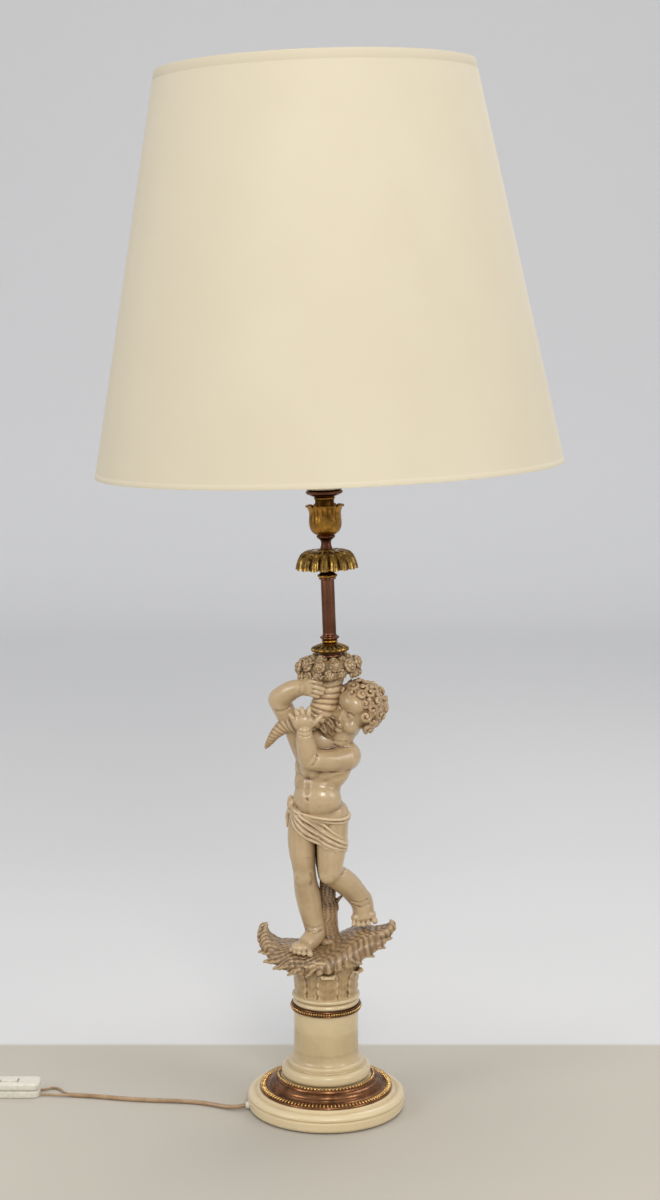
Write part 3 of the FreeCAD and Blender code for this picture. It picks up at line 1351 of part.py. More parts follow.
pin.Placement = FreeCAD.Placement(
    V(num("switch_x"), num("switch_y") - (num("switch_width") - 9.0) / 2, pin_z),
    FreeCAD.Rotation(X_AXIS, -90))
kept(pin, "rocker_pin")
screws = []
for index, x in enumerate(screw_spots):
    screws.append(cylinder(f"switch_screw_{index}", S["screw_radius"], S["switch_height"] - 3.0,
                           FreeCAD.Placement(V(x, num("switch_y") - 6.0, 0.2), FreeCAD.Rotation())))
pair = doc.addObject("Part::Compound", "switch_screws")
pair.Links = screws
kept(pair, "switch_screws")

# --- the rest of the flex: a short lead, a neat coil in two layers, a tail and the plug -----------
coil = V(num("coil_x"), num("coil_y"), 0)
pitch = num("coil_pitch")
half_turns = 2 * int(num("coil_turns_per_layer"))
low_level = rest_z
high_level = rest_z + pitch
outer_turn = num("coil_mean_radius") + pitch * num("coil_turns_per_layer") / 2


def coil_points():
    """Where each half turn starts: radius and height, spiralling in, climbing, then out again."""
    for index in range(half_turns + 1):
        yield outer_turn - index * pitch / 2, low_level
    inner = outer_turn - half_turns * pitch / 2 - pitch / 4
    yield inner, high_level
    for index in range(1, half_turns):
        yield inner + index * pitch / 2 + pitch / 4, high_level


def coil_edges():
    spots = []
    for index, (radius, height) in enumerate(coil_points()):
        side = -1 if index % 2 == 0 else 1
        spots.append(coil + V(0, side * radius, height))
    edges = [Part.LineSegment(spots[0] + V(2 * num("flex_radius"), 0, 0), spots[0]).toShape()]
    for index, (start, end) in enumerate(zip(spots, spots[1:])):
        side = -1 if index % 2 == 0 else 1
        middle = (start + end) * 0.5 + V(side * abs((end - start).y) / 2, 0, 0)
        if abs(start.z - end.z) < 0.01:
            edges.append(Part.Arc(start, middle, end).toShape())
            continue
        slope = V(0, -side * abs((end - start).y) / 2 * math.pi / 2, end.z - start.z).normalize()
        edges += biarc(start, V(side, 0, 0), middle, slope)
        edges += biarc(middle, slope, end, V(-side, 0, 0))
    edges.append(Part.LineSegment(spots[-1], spots[-1] - V(2 * num("flex_radius"), 0, 0)).toShape())
    return edges, spots


def biarc(start, way_out, end, way_in):
    """Two arcs that leave start along way_out and reach end along way_in."""
    run = end - start
    both = way_out + way_in
    spread = 2 * (1 - way_out.dot(way_in))
    reach = (-run.dot(both) + math.sqrt(run.dot(both) ** 2 + spread * run.dot(run))) / spread
    first, second = start + way_out * reach, end - way_in * reach
    middle = (first + second) * 0.5
    return [arc_through(start, first, middle), arc_through(middle, second, end)]


winding, coil_spots = coil_edges()
tube("flex_coil", winding, S["flex_radius"])
samples = []
for edge in winding:
    count = max(2, int(edge.Length / 3.0))
    samples += [edge.valueAt(edge.FirstParameter + (edge.LastParameter - edge.FirstParameter) * i / count)
                for i in range(count)]
least = min((a - b).Length for i, a in enumerate(samples) for b in samples[i + 6:])
print("coil: least gap to itself", round(least - 2 * num("flex_radius"), 2),
      "length", round(sum(e.Length for e in winding), 1))

coil_in = coil_spots[0] + V(2 * num("flex_radius") + 0.2, 0, 0)
short_lead = [
    V(switch_left - 0.2, num("switch_y"), rest_z),
    V(switch_left - 14.0, num("switch_y"), rest_z),
    V(coil_in.x + 12.0, coil_in.y - 1.5, rest_z),
    coil_in,
]
tube("flex_short_lead", rounded_route(short_lead, "flex_short_lead"), S["flex_radius"])
coil_out = coil_spots[-1] - V(2 * num("flex_radius"), 0, 0)
plug_back = V(num("plug_x") - num("plug_length") / 2, num("plug_y"), num("plug_thickness") / 2)
tail = [
    coil_out,
    coil_out + V(-18.0, 0, 0),
    coil_out + V(-35.0, -7.0, -3.4),
    V(coil_out.x - 45.0, coil_out.y - 24.0, rest_z),
    V(plug_back.x - 24.0, plug_back.y + 8.0, rest_z + 0.6),
    V(plug_back.x - 11.0, plug_back.y, plug_back.z - 0.6),
    plug_back,
]
tube("flex_tail", rounded_route(tail, "flex_tail"), S["flex_radius"])

plug_block = doc.addObject("Part::Box", "plug_block")
bind(plug_block, Length=S["plug_length"], Width=S["plug_width"], Height=S["plug_thickness"])
plug_block.Placement.Base = V(plug_back.x, num("plug_y") - num("plug_width") / 2, 0)
doc.recompute()
plug_edges = [i + 1 for i, e in enumerate(plug_block.Shape.Edges)
              if abs(e.tangentAt(e.FirstParameter).x) > 0.99]
plug_round = doc.addObject("Part::Fillet", "plug_rounded")
plug_round.Base = plug_block
plug_round.Edges = [(i, num("plug_thickness") * 0.42, num("plug_thickness") * 0.42) for i in plug_edges]
kept(plug_round, "plug_body")
pins = []
for index, side in enumerate((-1, 1)):
    pins.append(cylinder(
        f"plug_pin_{index}", S["plug_pin_radius"], S["plug_pin_length"],
        FreeCAD.Placement(V(plug_back.x + num("plug_length"),
                            num("plug_y") + side * num("plug_pin_spacing") / 2,
                            num("plug_thickness") / 2), FreeCAD.Rotation(Z_AXIS, X_AXIS))))
pin_pair = doc.addObject("Part::Compound", "plug_pins")
pin_pair.Links = pins
kept(pin_pair, "plug_pins")


# --- checks and files ------------------------------------------------------------------------------
doc.recompute()
broken = [o.Name for o in doc.Objects if {"Invalid", "Error"} & set(o.State)]
if broken:
    raise RuntimeError("failed objects: " + ", ".join(broken))
os.makedirs("parts", exist_ok=True)
for item in subparts:
    if item.Shape.isNull() or not item.Shape.isValid():
        raise RuntimeError(item.Label + " has no valid shape")
for item in subparts:
    item.Shape.exportStep(os.path.join("parts", item.Label + ".step"))
print(len(subparts), "sub-parts written")
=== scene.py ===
"""Figural table lamp: the visible pieces, their finishes and the studio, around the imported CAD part."""

import json
import math

import bpy
import bmesh
import numpy as np
from mathutils import Matrix, Vector


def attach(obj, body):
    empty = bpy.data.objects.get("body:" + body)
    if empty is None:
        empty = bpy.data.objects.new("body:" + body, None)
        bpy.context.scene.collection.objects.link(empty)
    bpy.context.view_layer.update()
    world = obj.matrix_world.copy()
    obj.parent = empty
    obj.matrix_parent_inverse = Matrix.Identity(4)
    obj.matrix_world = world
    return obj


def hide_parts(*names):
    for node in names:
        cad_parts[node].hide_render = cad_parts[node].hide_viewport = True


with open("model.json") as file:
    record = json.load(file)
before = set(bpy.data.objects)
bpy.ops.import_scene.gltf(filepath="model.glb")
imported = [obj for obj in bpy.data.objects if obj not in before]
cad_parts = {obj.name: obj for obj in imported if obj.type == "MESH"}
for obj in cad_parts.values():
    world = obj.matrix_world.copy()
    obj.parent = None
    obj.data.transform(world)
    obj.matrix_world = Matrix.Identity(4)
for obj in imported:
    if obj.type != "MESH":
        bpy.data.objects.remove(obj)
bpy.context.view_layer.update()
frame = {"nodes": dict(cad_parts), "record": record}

bl_info = {
    "name": "Figural table lamp",
    "version": (1, 0, 0),
    "blender": (4, 5, 0),
    "location": "3D View > Sidebar > Lamp",
    "description": "Builds a carved figure lamp with its shade, flex and finishes",
    "category": "Object",
}

MM = 0.001
STEM_FOOT = Vector((4.3, 0.0, 458.0))
STEM_LEAN = math.radians(2.1)
FULL_TURN = 2 * math.pi


# --- small helpers ---------------------------------------------------------------------------------
def settle():
    """Leave edit mode and select nothing."""
    if bpy.context.mode != "OBJECT":
        bpy.ops.object.mode_set(mode="OBJECT")
    bpy.ops.object.select_all(action="DESELECT")


def grab(*objects):
    """Select these objects; the first becomes the active one."""
    settle()
    for item in objects:
        item.select_set(True)
    bpy.context.view_layer.objects.active = objects[0]
    return objects[0]


def named(name):
    item = bpy.context.active_object
    item.name = name
    item.data.name = name
    return item


def on_stem(x=0.0, along=0.0):
    """A point, in mm, given in the leaning frame of the stem."""
    lean = Matrix.Rotation(-STEM_LEAN, 3, "Y")
    return STEM_FOOT + lean @ Vector((x, 0.0, along))


def apply_all(item):
    """Apply every modifier of a piece, in order."""
    grab(item)
    for modifier in list(item.modifiers):
        bpy.ops.object.modifier_apply(modifier=modifier.name)
    return item


def modify(item, kind, **settings):
    """Give a piece one modifier and apply it."""
    modifier = item.modifiers.new(kind.title(), kind)
    for key, value in settings.items():
        setattr(modifier, key, value)
    return apply_all(item)


def freeze(item):
    """Put the object's place, turn and scale into its mesh."""
    grab(item)
    bpy.ops.object.transform_apply(location=True, rotation=True, scale=True)
    return item


def joined(name, *items):
    grab(*items)
    if len(items) > 1:
        bpy.ops.object.join()
    return named(name)


def smooth(item, degrees=35.0):
    grab(item)
    bpy.ops.object.shade_smooth_by_angle(angle=math.radians(degrees))
    return item


def outward_faces(item):
    grab(item)
    bpy.ops.object.mode_set(mode="EDIT")
    bpy.ops.mesh.select_all(action="SELECT")
    bpy.ops.mesh.remove_doubles(threshold=1e-6)
    bpy.ops.mesh.normals_make_consistent(inside=False)
    bpy.ops.object.mode_set(mode="OBJECT")
    return item


def rounded(points, reach):
    """The outline with each corner cut back by reach and rounded; a third number overrides it."""
    result = []
    for index, point in enumerate(points):
        here = Vector(point[:2])
        cut = point[2] if len(point) > 2 else reach
        if cut == 0 or index in (0, len(points) - 1):
            result.append(here)
            continue
        before, after = Vector(points[index - 1][:2]), Vector(points[index + 1][:2])
        back = min(cut, (before - here).length * 0.48)
        on = min(cut, (after - here).length * 0.48)
        start = here + (before - here).normalized() * back
        end = here + (after - here).normalized() * on
        for step in range(4):
            t = step / 3
            result.append(start * (1 - t) ** 2 + here * 2 * t * (1 - t) + end * t ** 2)
    return result


def turned(name, outline, reach=0.6, steps=128, leaning=True):
    """A piece turned from an outline of (radius, height) in mm, upright or on the leaning stem."""
    corners = rounded(outline, reach)
    settle()
    bpy.ops.mesh.primitive_plane_add(size=1.0)
    item = named(name)
    bpy.ops.object.mode_set(mode="EDIT")
    bpy.ops.mesh.select_all(action="SELECT")
    bpy.ops.mesh.merge(type="CENTER")
    bpy.ops.transform.translate(value=(corners[0].x, 0, corners[0].y))
    for start, end in zip(corners, corners[1:]):
        move = (end.x - start.x, 0, end.y - start.y)
        bpy.ops.mesh.extrude_region_move(TRANSFORM_OT_translate={"value": move})
    bpy.ops.mesh.select_all(action="SELECT")
    bpy.ops.mesh.spin(steps=steps, angle=FULL_TURN, center=(0, 0, 0), axis=(0, 0, 1))
    bpy.ops.mesh.select_all(action="SELECT")
    bpy.ops.mesh.remove_doubles(threshold=1e-4)
    bpy.ops.mesh.normals_make_consistent(inside=False)
    bpy.ops.object.mode_set(mode="OBJECT")
    if leaning:
        item.location = STEM_FOOT * MM
        item.rotation_euler = (0, -STEM_LEAN, 0)
    item.scale = (MM, MM, MM)
    freeze(item)
    return smooth(item, 40)


def in_millimetres(item):
    """Scale a turned piece back to mm, so that it can be joined or mapped before it is placed."""
    item.scale = (1 / MM, 1 / MM, 1 / MM)
    return freeze(item)


def lump(place, size, turn=(0, 0, 0), finer=3):
    """An ellipsoid of clay: place and half sizes in mm, turn in degrees."""
    bpy.ops.mesh.primitive_ico_sphere_add(subdivisions=finer, radius=1.0)
    item = bpy.context.active_object
    item.location = Vector(place) * MM
    item.scale = Vector(size) * MM
    item.rotation_euler = [math.radians(a) for a in turn]
    return item


def roll(points, sides=4, close=True):
    """A tapered roll of clay along a smooth line through (x, y, z, radius) points, in mm."""
    bpy.ops.curve.primitive_nurbs_path_add()
    item = bpy.context.active_object
    line = item.data
    line.splines.clear()
    spline = line.splines.new("NURBS")
    spline.points.add(len(points) - 1)
    for spot, (x, y, z, radius) in zip(spline.points, points):
        spot.co = (x * MM, y * MM, z * MM, 1.0)
        spot.radius = radius
    spline.order_u = 3
    spline.use_endpoint_u = True
    spline.resolution_u = 8
    line.dimensions = "3D"
    line.bevel_depth = MM
    line.bevel_resolution = sides
    line.use_fill_caps = close
    grab(item)
    bpy.ops.object.convert(target="MESH")
    item = bpy.context.active_object
    if close:
        balls = []
        for x, y, z, radius in (points[0], points[-1]):
            balls.append(lump((x, y, z), (radius, radius, radius), finer=2))
            freeze(balls[-1])
        item = joined("roll", item, *balls)
    return item


def kneaded(name, pieces, voxel, passes=4, strength=0.5):
    """Join lumps of clay, remesh them into one skin and smooth it. Voxel in mm."""
    for piece in pieces:
        freeze(piece)
    item = joined(name, *pieces)
    modify(item, "REMESH", mode="VOXEL", voxel_size=voxel * MM)
    if passes:
        modify(item, "SMOOTH", factor=strength, iterations=passes)
    return item


def read_values(elements, key, width=1, kind=float):
    """One value, or a row of values, of every element of a mesh."""
    values = np.empty(len(elements) * width, dtype=kind)
    elements.foreach_get(key, values)
    return values.reshape(-1, width) if width > 1 else values


def vertex_array(item):
    return read_values(item.data.vertices, "co", 3)


def normal_array(item):
    return read_values(item.data.vertices, "normal", 3)


def edge_array(item):
    return read_values(item.data.edges, "vertices", 2, np.int64)


def set_vertices(item, places):
    item.data.vertices.foreach_set("co", np.ascontiguousarray(places).ravel())
    item.data.update()


def relaxed(values, ends, count):
    """Average values over neighbours along the edges, count times."""
    degree = np.bincount(ends.ravel(), minlength=len(values)).clip(1)[:, None]
    for _ in range(count):
        total = np.zeros_like(values)
        np.add.at(total, ends[:, 0], values[ends[:, 1]])
        np.add.at(total, ends[:, 1], values[ends[:, 0]])
        values = total / degree
    return values


def mark_recess(item, reach=14, depth=0.5):
    """Store how deep each point lies in a hollow, 0 on crests and 1 in grooves, for the glaze."""
    places = vertex_array(item)
    ends = edge_array(item)
    gap = ((relaxed(places, ends, reach) - places) * normal_array(item)).sum(axis=1)
    value = np.clip(0.5 + 0.5 * gap / (depth * MM), 0, 1)[:, None]
    value = relaxed(value, ends, 1)[:, 0]
    layer = item.data.attributes.get("recess") or item.data.attributes.new("recess", "FLOAT", "POINT")
    layer.data.foreach_set("value", value)
    return item


def finish_piece(item, slot, finish, *nodes, body="root"):
    """Give a finished piece its finish, its body and the CAD nodes it stands for."""
    item.data.materials.clear()
    item.data.materials.append(MATERIALS[finish])
    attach(item, body)
    if nodes:
        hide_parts(*nodes)
    return item


# --- finishes --------------------------------------------------------------------------------------
def shade_of(red, green, blue):
    """A colour as seen on screen, 0 to 255, turned into the linear values that shaders use."""
    parts = []
    for value in (red, green, blue):
        value /= 255
        parts.append(value / 12.92 if value <= 0.04045 else ((value + 0.055) / 1.055) ** 2.4)
    return (*parts, 1.0)


def new_group(name, inputs, outputs):
    """An empty shader node group with named sockets, and its input and output nodes."""
    tree = bpy.data.node_groups.new(name, "ShaderNodeTree")
    for label, kind, default in inputs:
        socket = tree.interface.new_socket(name=label, in_out="INPUT", socket_type=kind)
        socket.default_value = default
    for label, kind in outputs:
        tree.interface.new_socket(name=label, in_out="OUTPUT", socket_type=kind)
    return tree, tree.nodes.new("NodeGroupInput"), tree.nodes.new("NodeGroupOutput")


def add_node(tree, kind, inputs=None, **settings):
    """Add a node; an input is a value, or another node's output to link."""
    item = tree.nodes.new(kind)
    for key, value in settings.items():
        setattr(item, key, value)
    for key, value in (inputs or {}).items():
        if isinstance(value, bpy.types.NodeSocket):
            tree.links.new(value, item.inputs[key])
        else:
            item.inputs[key].default_value = value
    return item


def feed(tree, target, **links):
    """Link outputs to a node's inputs; an underscore stands for the space in a socket's name."""
    for key, output in links.items():
        tree.links.new(output, target.inputs[key.replace("_", " ")])


def noise_of(tree, where, scale, detail, roughness=0.5):
    return add_node(tree, "ShaderNodeTexNoise", {"Vector": where, "Scale": scale, "Detail": detail,
                                                 "Roughness": roughness}).outputs["Fac"]


def object_place(tree):
    return add_node(tree, "ShaderNodeTexCoord").outputs["Object"]


def mix_colours(tree, mask, first, second):
    return add_node(tree, "ShaderNodeMix", {0: mask, 6: first, 7: second}, data_type="RGBA").outputs[2]


def ramp(tree, value, low, high, low_out=0.0, high_out=1.0):
    item = add_node(tree, "ShaderNodeMapRange", {"Value": value, "From Min": low, "From Max": high,
                                                 "To Min": low_out, "To Max": high_out})
    return item.outputs["Result"]


def arithmetic(tree, how, first, second):
    return add_node(tree, "ShaderNodeMath", {0: first, 1: second}, operation=how).outputs[0]


def build_glaze_group():
    """Brown glaze that gathers in hollows and thins on crests, over a mottled ground; on the stump it also
    lays painted shadow.
    """
    tree, source, result = new_group("Glaze in hollows", [
        ("Ground", "NodeSocketColor", shade_of(200, 178, 140)),
        ("Glaze", "NodeSocketColor", shade_of(96, 62, 34)),
        ("Crest", "NodeSocketColor", shade_of(228, 210, 178)),
        ("Reach", "NodeSocketFloat", 0.55),
        ("Strength", "NodeSocketFloat", 0.8),
        ("Scale", "NodeSocketFloat", 120.0)],
        [("Color", "NodeSocketColor"), ("Roughness", "NodeSocketFloat"), ("Height", "NodeSocketFloat")])
    where = object_place(tree)
    scale = source.outputs["Scale"]
    broad = noise_of(tree, where, scale, 5.0, 0.6)
    fine = noise_of(tree, where, arithmetic(tree, "MULTIPLY", scale, 7.0), 3.0)
    # The recess attribute holds real hollows; on the stump it also holds painted shadow on the upper trunk
    hollow = add_node(tree, "ShaderNodeAttribute", attribute_name="recess").outputs["Fac"]
    spread = arithmetic(tree, "ADD", hollow, ramp(tree, broad, 0.3, 0.7, -0.07, 0.07))
    gathered = ramp(tree, spread, source.outputs["Reach"], 0.95)
    strength = arithmetic(tree, "MULTIPLY", gathered, source.outputs["Strength"])
    mottled = mix_colours(tree, ramp(tree, broad, 0.4, 0.75, 0.0, 0.22),
                          source.outputs["Ground"], source.outputs["Glaze"])
    worn = mix_colours(tree, ramp(tree, spread, 0.47, 0.2, 0.0, 0.85), mottled, source.outputs["Crest"])
    glazed = mix_colours(tree, strength, worn, source.outputs["Glaze"])
    specks = ramp(tree, fine, 0.68, 0.76, 0.0, 0.35)
    feed(tree, result, Color=mix_colours(tree, specks, glazed, source.outputs["Glaze"]),
         Roughness=ramp(tree, broad, 0.3, 0.7, 0.26, 0.42), Height=arithmetic(tree, "ADD", fine, broad))
    return tree


def build_patina_group():
    """Dark patina on metal: bright where it is rubbed, dark and rougher in hollows and in patches."""
    tree, source, result = new_group("Rubbed patina", [
        ("Metal", "NodeSocketColor", shade_of(196, 140, 90)),
        ("Patina", "NodeSocketColor", shade_of(60, 34, 20)),
        ("Amount", "NodeSocketFloat", 0.6),
        ("Scale", "NodeSocketFloat", 160.0)],
        [("Color", "NodeSocketColor"), ("Roughness", "NodeSocketFloat"), ("Height", "NodeSocketFloat")])
    broad = noise_of(tree, object_place(tree), source.outputs["Scale"], 6.0, 0.65)
    hollow = add_node(tree, "ShaderNodeAttribute", attribute_name="recess").outputs["Fac"]
    grime = arithmetic(tree, "ADD", ramp(tree, broad, 0.35, 0.65),
                       ramp(tree, hollow, 0.5, 0.85, 0.0, 1.0))
    mask = arithmetic(tree, "MULTIPLY", grime, source.outputs["Amount"])
    clamped = add_node(tree, "ShaderNodeClamp", {"Value": mask}).outputs[0]
    feed(tree, result, Color=mix_colours(tree, clamped, source.outputs["Metal"], source.outputs["Patina"]),
         Roughness=ramp(tree, clamped, 0.0, 1.0, 0.2, 0.5), Height=broad)
    return tree


def build_weave_group():
    """Plain weave on a piece's own map: U runs along the weft and V along the warp, in metres."""
    tree, source, result = new_group("Plain weave", [
        ("Threads", "NodeSocketFloat", 1400.0),
        ("Slub", "NodeSocketFloat", 0.4)],
        [("Height", "NodeSocketFloat"), ("Shade", "NodeSocketFloat")])
    where = add_node(tree, "ShaderNodeUVMap").outputs["UV"]
    threads = add_node(tree, "ShaderNodeVectorMath", {0: where}, operation="SCALE")
    feed(tree, threads, Scale=source.outputs["Threads"])
    parts = add_node(tree, "ShaderNodeSeparateXYZ", {0: threads.outputs[0]})
    across = arithmetic(tree, "SINE", arithmetic(tree, "MULTIPLY", parts.outputs[0], math.pi), 0.0)
    along = arithmetic(tree, "SINE", arithmetic(tree, "MULTIPLY", parts.outputs[1], math.pi), 0.0)
    woven = arithmetic(tree, "MULTIPLY", across, along)
    stretched = add_node(tree, "ShaderNodeMapping", {"Vector": where, "Scale": (60.0, 900.0, 1.0)})
    slub = noise_of(tree, stretched.outputs[0], 1.0, 4.0)
    upright = add_node(tree, "ShaderNodeMapping", {"Vector": where, "Scale": (900.0, 60.0, 1.0)})
    warp_slub = noise_of(tree, upright.outputs[0], 1.0, 4.0)
    both = arithmetic(tree, "ADD", slub, warp_slub)
    lifted = arithmetic(tree, "MULTIPLY", both, source.outputs["Slub"])
    feed(tree, result, Height=arithmetic(tree, "ADD", woven, lifted), Shade=ramp(tree, both, 0.7, 1.3))
    return tree


GROUPS = {}


def group_node(tree, name, **values):
    item = tree.nodes.new("ShaderNodeGroup")
    item.node_tree = GROUPS[name]
    for key, value in values.items():
        item.inputs[key.replace("_", " ").title()].default_value = value
    return item


def new_material(name, **settings):
    """A material with its Principled BSDF; settings are values of the shader's own sockets."""
    material = bpy.data.materials.new(name)
    material.use_nodes = True
    shader = material.node_tree.nodes["Principled BSDF"]
    for key, value in settings.items():
        shader.inputs[key.replace("_", " ").title().replace("Ior", "IOR")].default_value = value
    return material, material.node_tree, shader


def add_bump(tree, shader, height, strength, distance):
    bump = add_node(tree, "ShaderNodeBump", {"Height": height, "Strength": strength,
                                             "Distance": distance * MM})
    feed(tree, shader, Normal=bump.outputs[0])


def linear(colour):
    """A screen colour of three numbers made linear; one of four is linear already."""
    return colour if len(colour) == 4 else shade_of(*colour)


def glazed_material(name, ground, glaze, crest, reach, strength, scale, coat=0.35, bump=0.12):
    material, tree, shader = new_material(name, coat_roughness=0.18, specular_ior_level=0.5)
    shader.inputs["Coat Weight"].default_value = coat
    glazing = group_node(tree, "glaze", ground=linear(ground), glaze=linear(glaze), crest=linear(crest),
                         reach=reach, strength=strength, scale=scale)
    feed(tree, shader, Base_Color=glazing.outputs["Color"], Roughness=glazing.outputs["Roughness"])
    add_bump(tree, shader, glazing.outputs["Height"], bump, 0.35)
    return material


def metal_material(name, metal, patina, amount, scale=160.0):
    material, tree, shader = new_material(name, metallic=1.0)
    rubbed = group_node(tree, "patina", metal=linear(metal), patina=linear(patina), amount=amount,
                        scale=scale)
    feed(tree, shader, Base_Color=rubbed.outputs["Color"], Roughness=rubbed.outputs["Roughness"])
    add_bump(tree, shader, rubbed.outputs["Height"], 0.1, 0.3)
    return material


def grained_material(name, colour, other, scale, roughness=(0.4, 0.6), bump=0.15, depth=0.3, **settings):
    """Moulded or milled stuff with a fine grain and a slight change of colour."""
    material, tree, shader = new_material(name, **settings)
    noise = noise_of(tree, object_place(tree), scale, 5.0, 0.6)
    blend = mix_colours(tree, ramp(tree, noise, 0.35, 0.65), linear(colour), linear(other))
    feed(tree, shader, Base_Color=blend, Roughness=ramp(tree, noise, 0.3, 0.7, *roughness))
    add_bump(tree, shader, noise, bump, depth)
    return material


def shade_material(name, outer):
    """Pale woven cloth on a stiff white lining; the lining side is plainer and a little lighter."""
    material, tree, shader = new_material(name, roughness=0.85, sheen_weight=0.15)
    shader.inputs["Specular IOR Level"].default_value = 0.2
    weave = group_node(tree, "weave", threads=1500.0 if outer else 2600.0, slub=0.55 if outer else 0.1)
    tone = shade_of(216, 207, 185) if outer else shade_of(236, 230, 214)
    darker = shade_of(200, 188, 161) if outer else shade_of(224, 216, 196)
    cloud = noise_of(tree, object_place(tree), 9.0, 3.0)
    mask = arithmetic(tree, "MULTIPLY", weave.outputs["Shade"], ramp(tree, cloud, 0.3, 0.7, 0.35, 0.75))
    feed(tree, shader, Base_Color=mix_colours(tree, mask, tone, darker))
    add_bump(tree, shader, weave.outputs["Height"], 0.22 if outer else 0.06, 0.15)
    return material


def flex_material(name):
    """Clear gold plastic over twisted wire."""
    material, tree, shader = new_material(name, roughness=0.25, coat_weight=0.6, coat_roughness=0.12)
    where = object_place(tree)
    cloud = noise_of(tree, where, 60.0, 4.0)
    strands = noise_of(tree, where, 900.0, 2.0)
    body = mix_colours(tree, ramp(tree, cloud, 0.35, 0.65), shade_of(172, 143, 108),
                       shade_of(146, 114, 80))
    glint = ramp(tree, strands, 0.5, 0.72, 0.0, 0.5)
    feed(tree, shader, Base_Color=mix_colours(tree, glint, body, shade_of(206, 178, 140)))
    add_bump(tree, shader, strands, 0.12, 0.2)
    return material


MATERIALS = {}
# name, ground, glaze, crest, reach, strength, scale, coat, bump
GLAZED = {
    "plinth": ("glazed cream plinth", (212, 190, 146), (138, 104, 62), (222, 203, 164), 0.6, 0.8, 30.0, 0.6,
               0.03),
    "drum": ("glazed cream drum", (198, 177, 136), (120, 90, 56), (212, 192, 152), 0.58, 0.8, 34.0, 0.55,
             0.04),
    "hair": ("stained ivory curls", (160, 130, 94), (70, 42, 22), (206, 178, 138), 0.5, 0.95, 160.0),
    "horn": ("stained ivory horn", (172, 142, 104), (76, 46, 24), (214, 188, 148), 0.5, 0.92, 120.0),
    "flowers": ("stained ivory flowers", (140, 112, 76), (58, 35, 18), (208, 182, 142), 0.47, 0.95, 160.0),
    "capital": ("stained ivory capital", (178, 150, 108), (84, 52, 27), (216, 192, 152), 0.5, 0.92, 110.0),
    "leaves": ("dark stained leaves", (138, 110, 76), (62, 38, 20), (180, 152, 112), 0.5, 0.95, 90.0),
    # The stump's very dark glaze is stain and painted shadow: it also shades the upper trunk between the
    # legs
    "stump": ("dark stained bark", (150, 120, 84), (44, 27, 15), (176, 146, 108), 0.46, 0.95, 90.0),
    "cloth": ("waxed ivory drape", (184, 158, 122), (90, 56, 30), (216, 194, 158), 0.52, 0.9, 90.0),
}
# name, metal, patina, amount, scale
METALS = {
    "copper": ("antique copper", (132, 88, 66), (70, 42, 28), 0.55, 70.0),
    "step": ("gilt copper step", (152, 106, 74), (60, 39, 26), 0.8, 60.0),
    "gilt": ("gilt bead rows", (220, 180, 116), (78, 50, 28), 0.5),
    "bronze": ("dark bronze pan", (176, 142, 76), (54, 35, 18), 0.9),
    "brass": ("old brass", (196, 146, 66), (84, 52, 18), 0.8, 110.0),
    "steel": ("plain steel", (190, 190, 188), (120, 118, 114), 0.4),
    "holder": ("bright holder metal", (206, 196, 172), (120, 104, 78), 0.4),
    "pins": ("nickel pins", (208, 206, 198), (150, 144, 132), 0.3),
}
# name, two colours, scale, roughness, bump, depth
GRAINED = {
    "felt": ("brown felt", (92, 70, 52), (70, 52, 38), 900.0, (0.9, 1.0), 0.5, 0.6),
    "insulator": ("white ceramic", (226, 222, 212), (212, 206, 194), 180.0, (0.25, 0.4)),
    "white_wire": ("white wire", (226, 222, 210), (206, 200, 186), 200.0, (0.4, 0.55)),
}


def build_materials():
    """Every finish of the lamp, by the names that finish_piece and NODE_FINISH use."""
    GROUPS["glaze"] = build_glaze_group()
    GROUPS["patina"] = build_patina_group()
    GROUPS["weave"] = build_weave_group()
    look = bpy.context.scene.lamp_finish
    for table, make in ((GLAZED, glazed_material), (METALS, metal_material), (GRAINED, grained_material)):
        MATERIALS.update({key: make(*row) for key, row in table.items()})
    MATERIALS.update({
        "skin": glazed_material("waxed ivory carving", (*look.ivory_colour, 1.0), (*look.glaze_colour, 1.0),
                                (196, 171, 134), 0.56, 0.9, 40.0, 0.6, 0.05),
        "white_plastic": grained_material("ivory white plastic", (222, 218, 206), (208, 203, 188), 260.0,
                                          (0.3, 0.45), 0.08, 0.15, coat_weight=0.2),
        "bulb": grained_material("frosted glass", (240, 238, 232), (230, 227, 218), 300.0, (0.35, 0.5),
                                 0.05, 0.1, transmission_weight=0.5),
        "shade_outer": shade_material("shade cloth", True),
        "shade_inner": shade_material("shade lining", False),
        "flex": flex_material("gold twin flex"),
    })


# --- what a user may change ------------------------------------------------------------------------
class LampFinish(bpy.types.PropertyGroup):
    ivory_colour: bpy.props.FloatVectorProperty(
        name="Ivory", description="Ground colour of the carved figure", subtype="COLOR", size=3,
        min=0, max=1, default=shade_of(180, 154, 116)[:3])
    glaze_colour: bpy.props.FloatVectorProperty(
        name="Glaze", description="Brown glaze that lies in the figure's hollows", subtype="COLOR",
        size=3, min=0, max=1, default=shade_of(96, 60, 32)[:3])


class LampDetail(bpy.types.PropertyGroup):
    clay_voxel: bpy.props.FloatProperty(
        name="Carving fineness", description="Size of the grid that the carved forms are skinned at, in mm",
        default=0.75, min=0.4, max=3.0)
    bead_rows_outer: bpy.props.IntProperty(
        name="Outer beads", description="Number of flutes in the base's outer row", default=110, min=12)
    bead_rows_inner: bpy.props.IntProperty(
        name="Inner beads", description="Number of beads in the base's inner row", default=84, min=12)
    drum_beads: bpy.props.IntProperty(
        name="Drum beads", description="Number of beads in the row round the drum", default=85, min=12)
    pan_lobes: bpy.props.IntProperty(
        name="Pan lobes", description="Number of fluted lobes round the drip pan", default=17, min=6)
    shade_wall: bpy.props.FloatProperty(
        name="Shade wall", description="Thickness of the shade's cloth and lining", subtype="DISTANCE",
        unit="LENGTH", default=0.0012, min=0.0004)


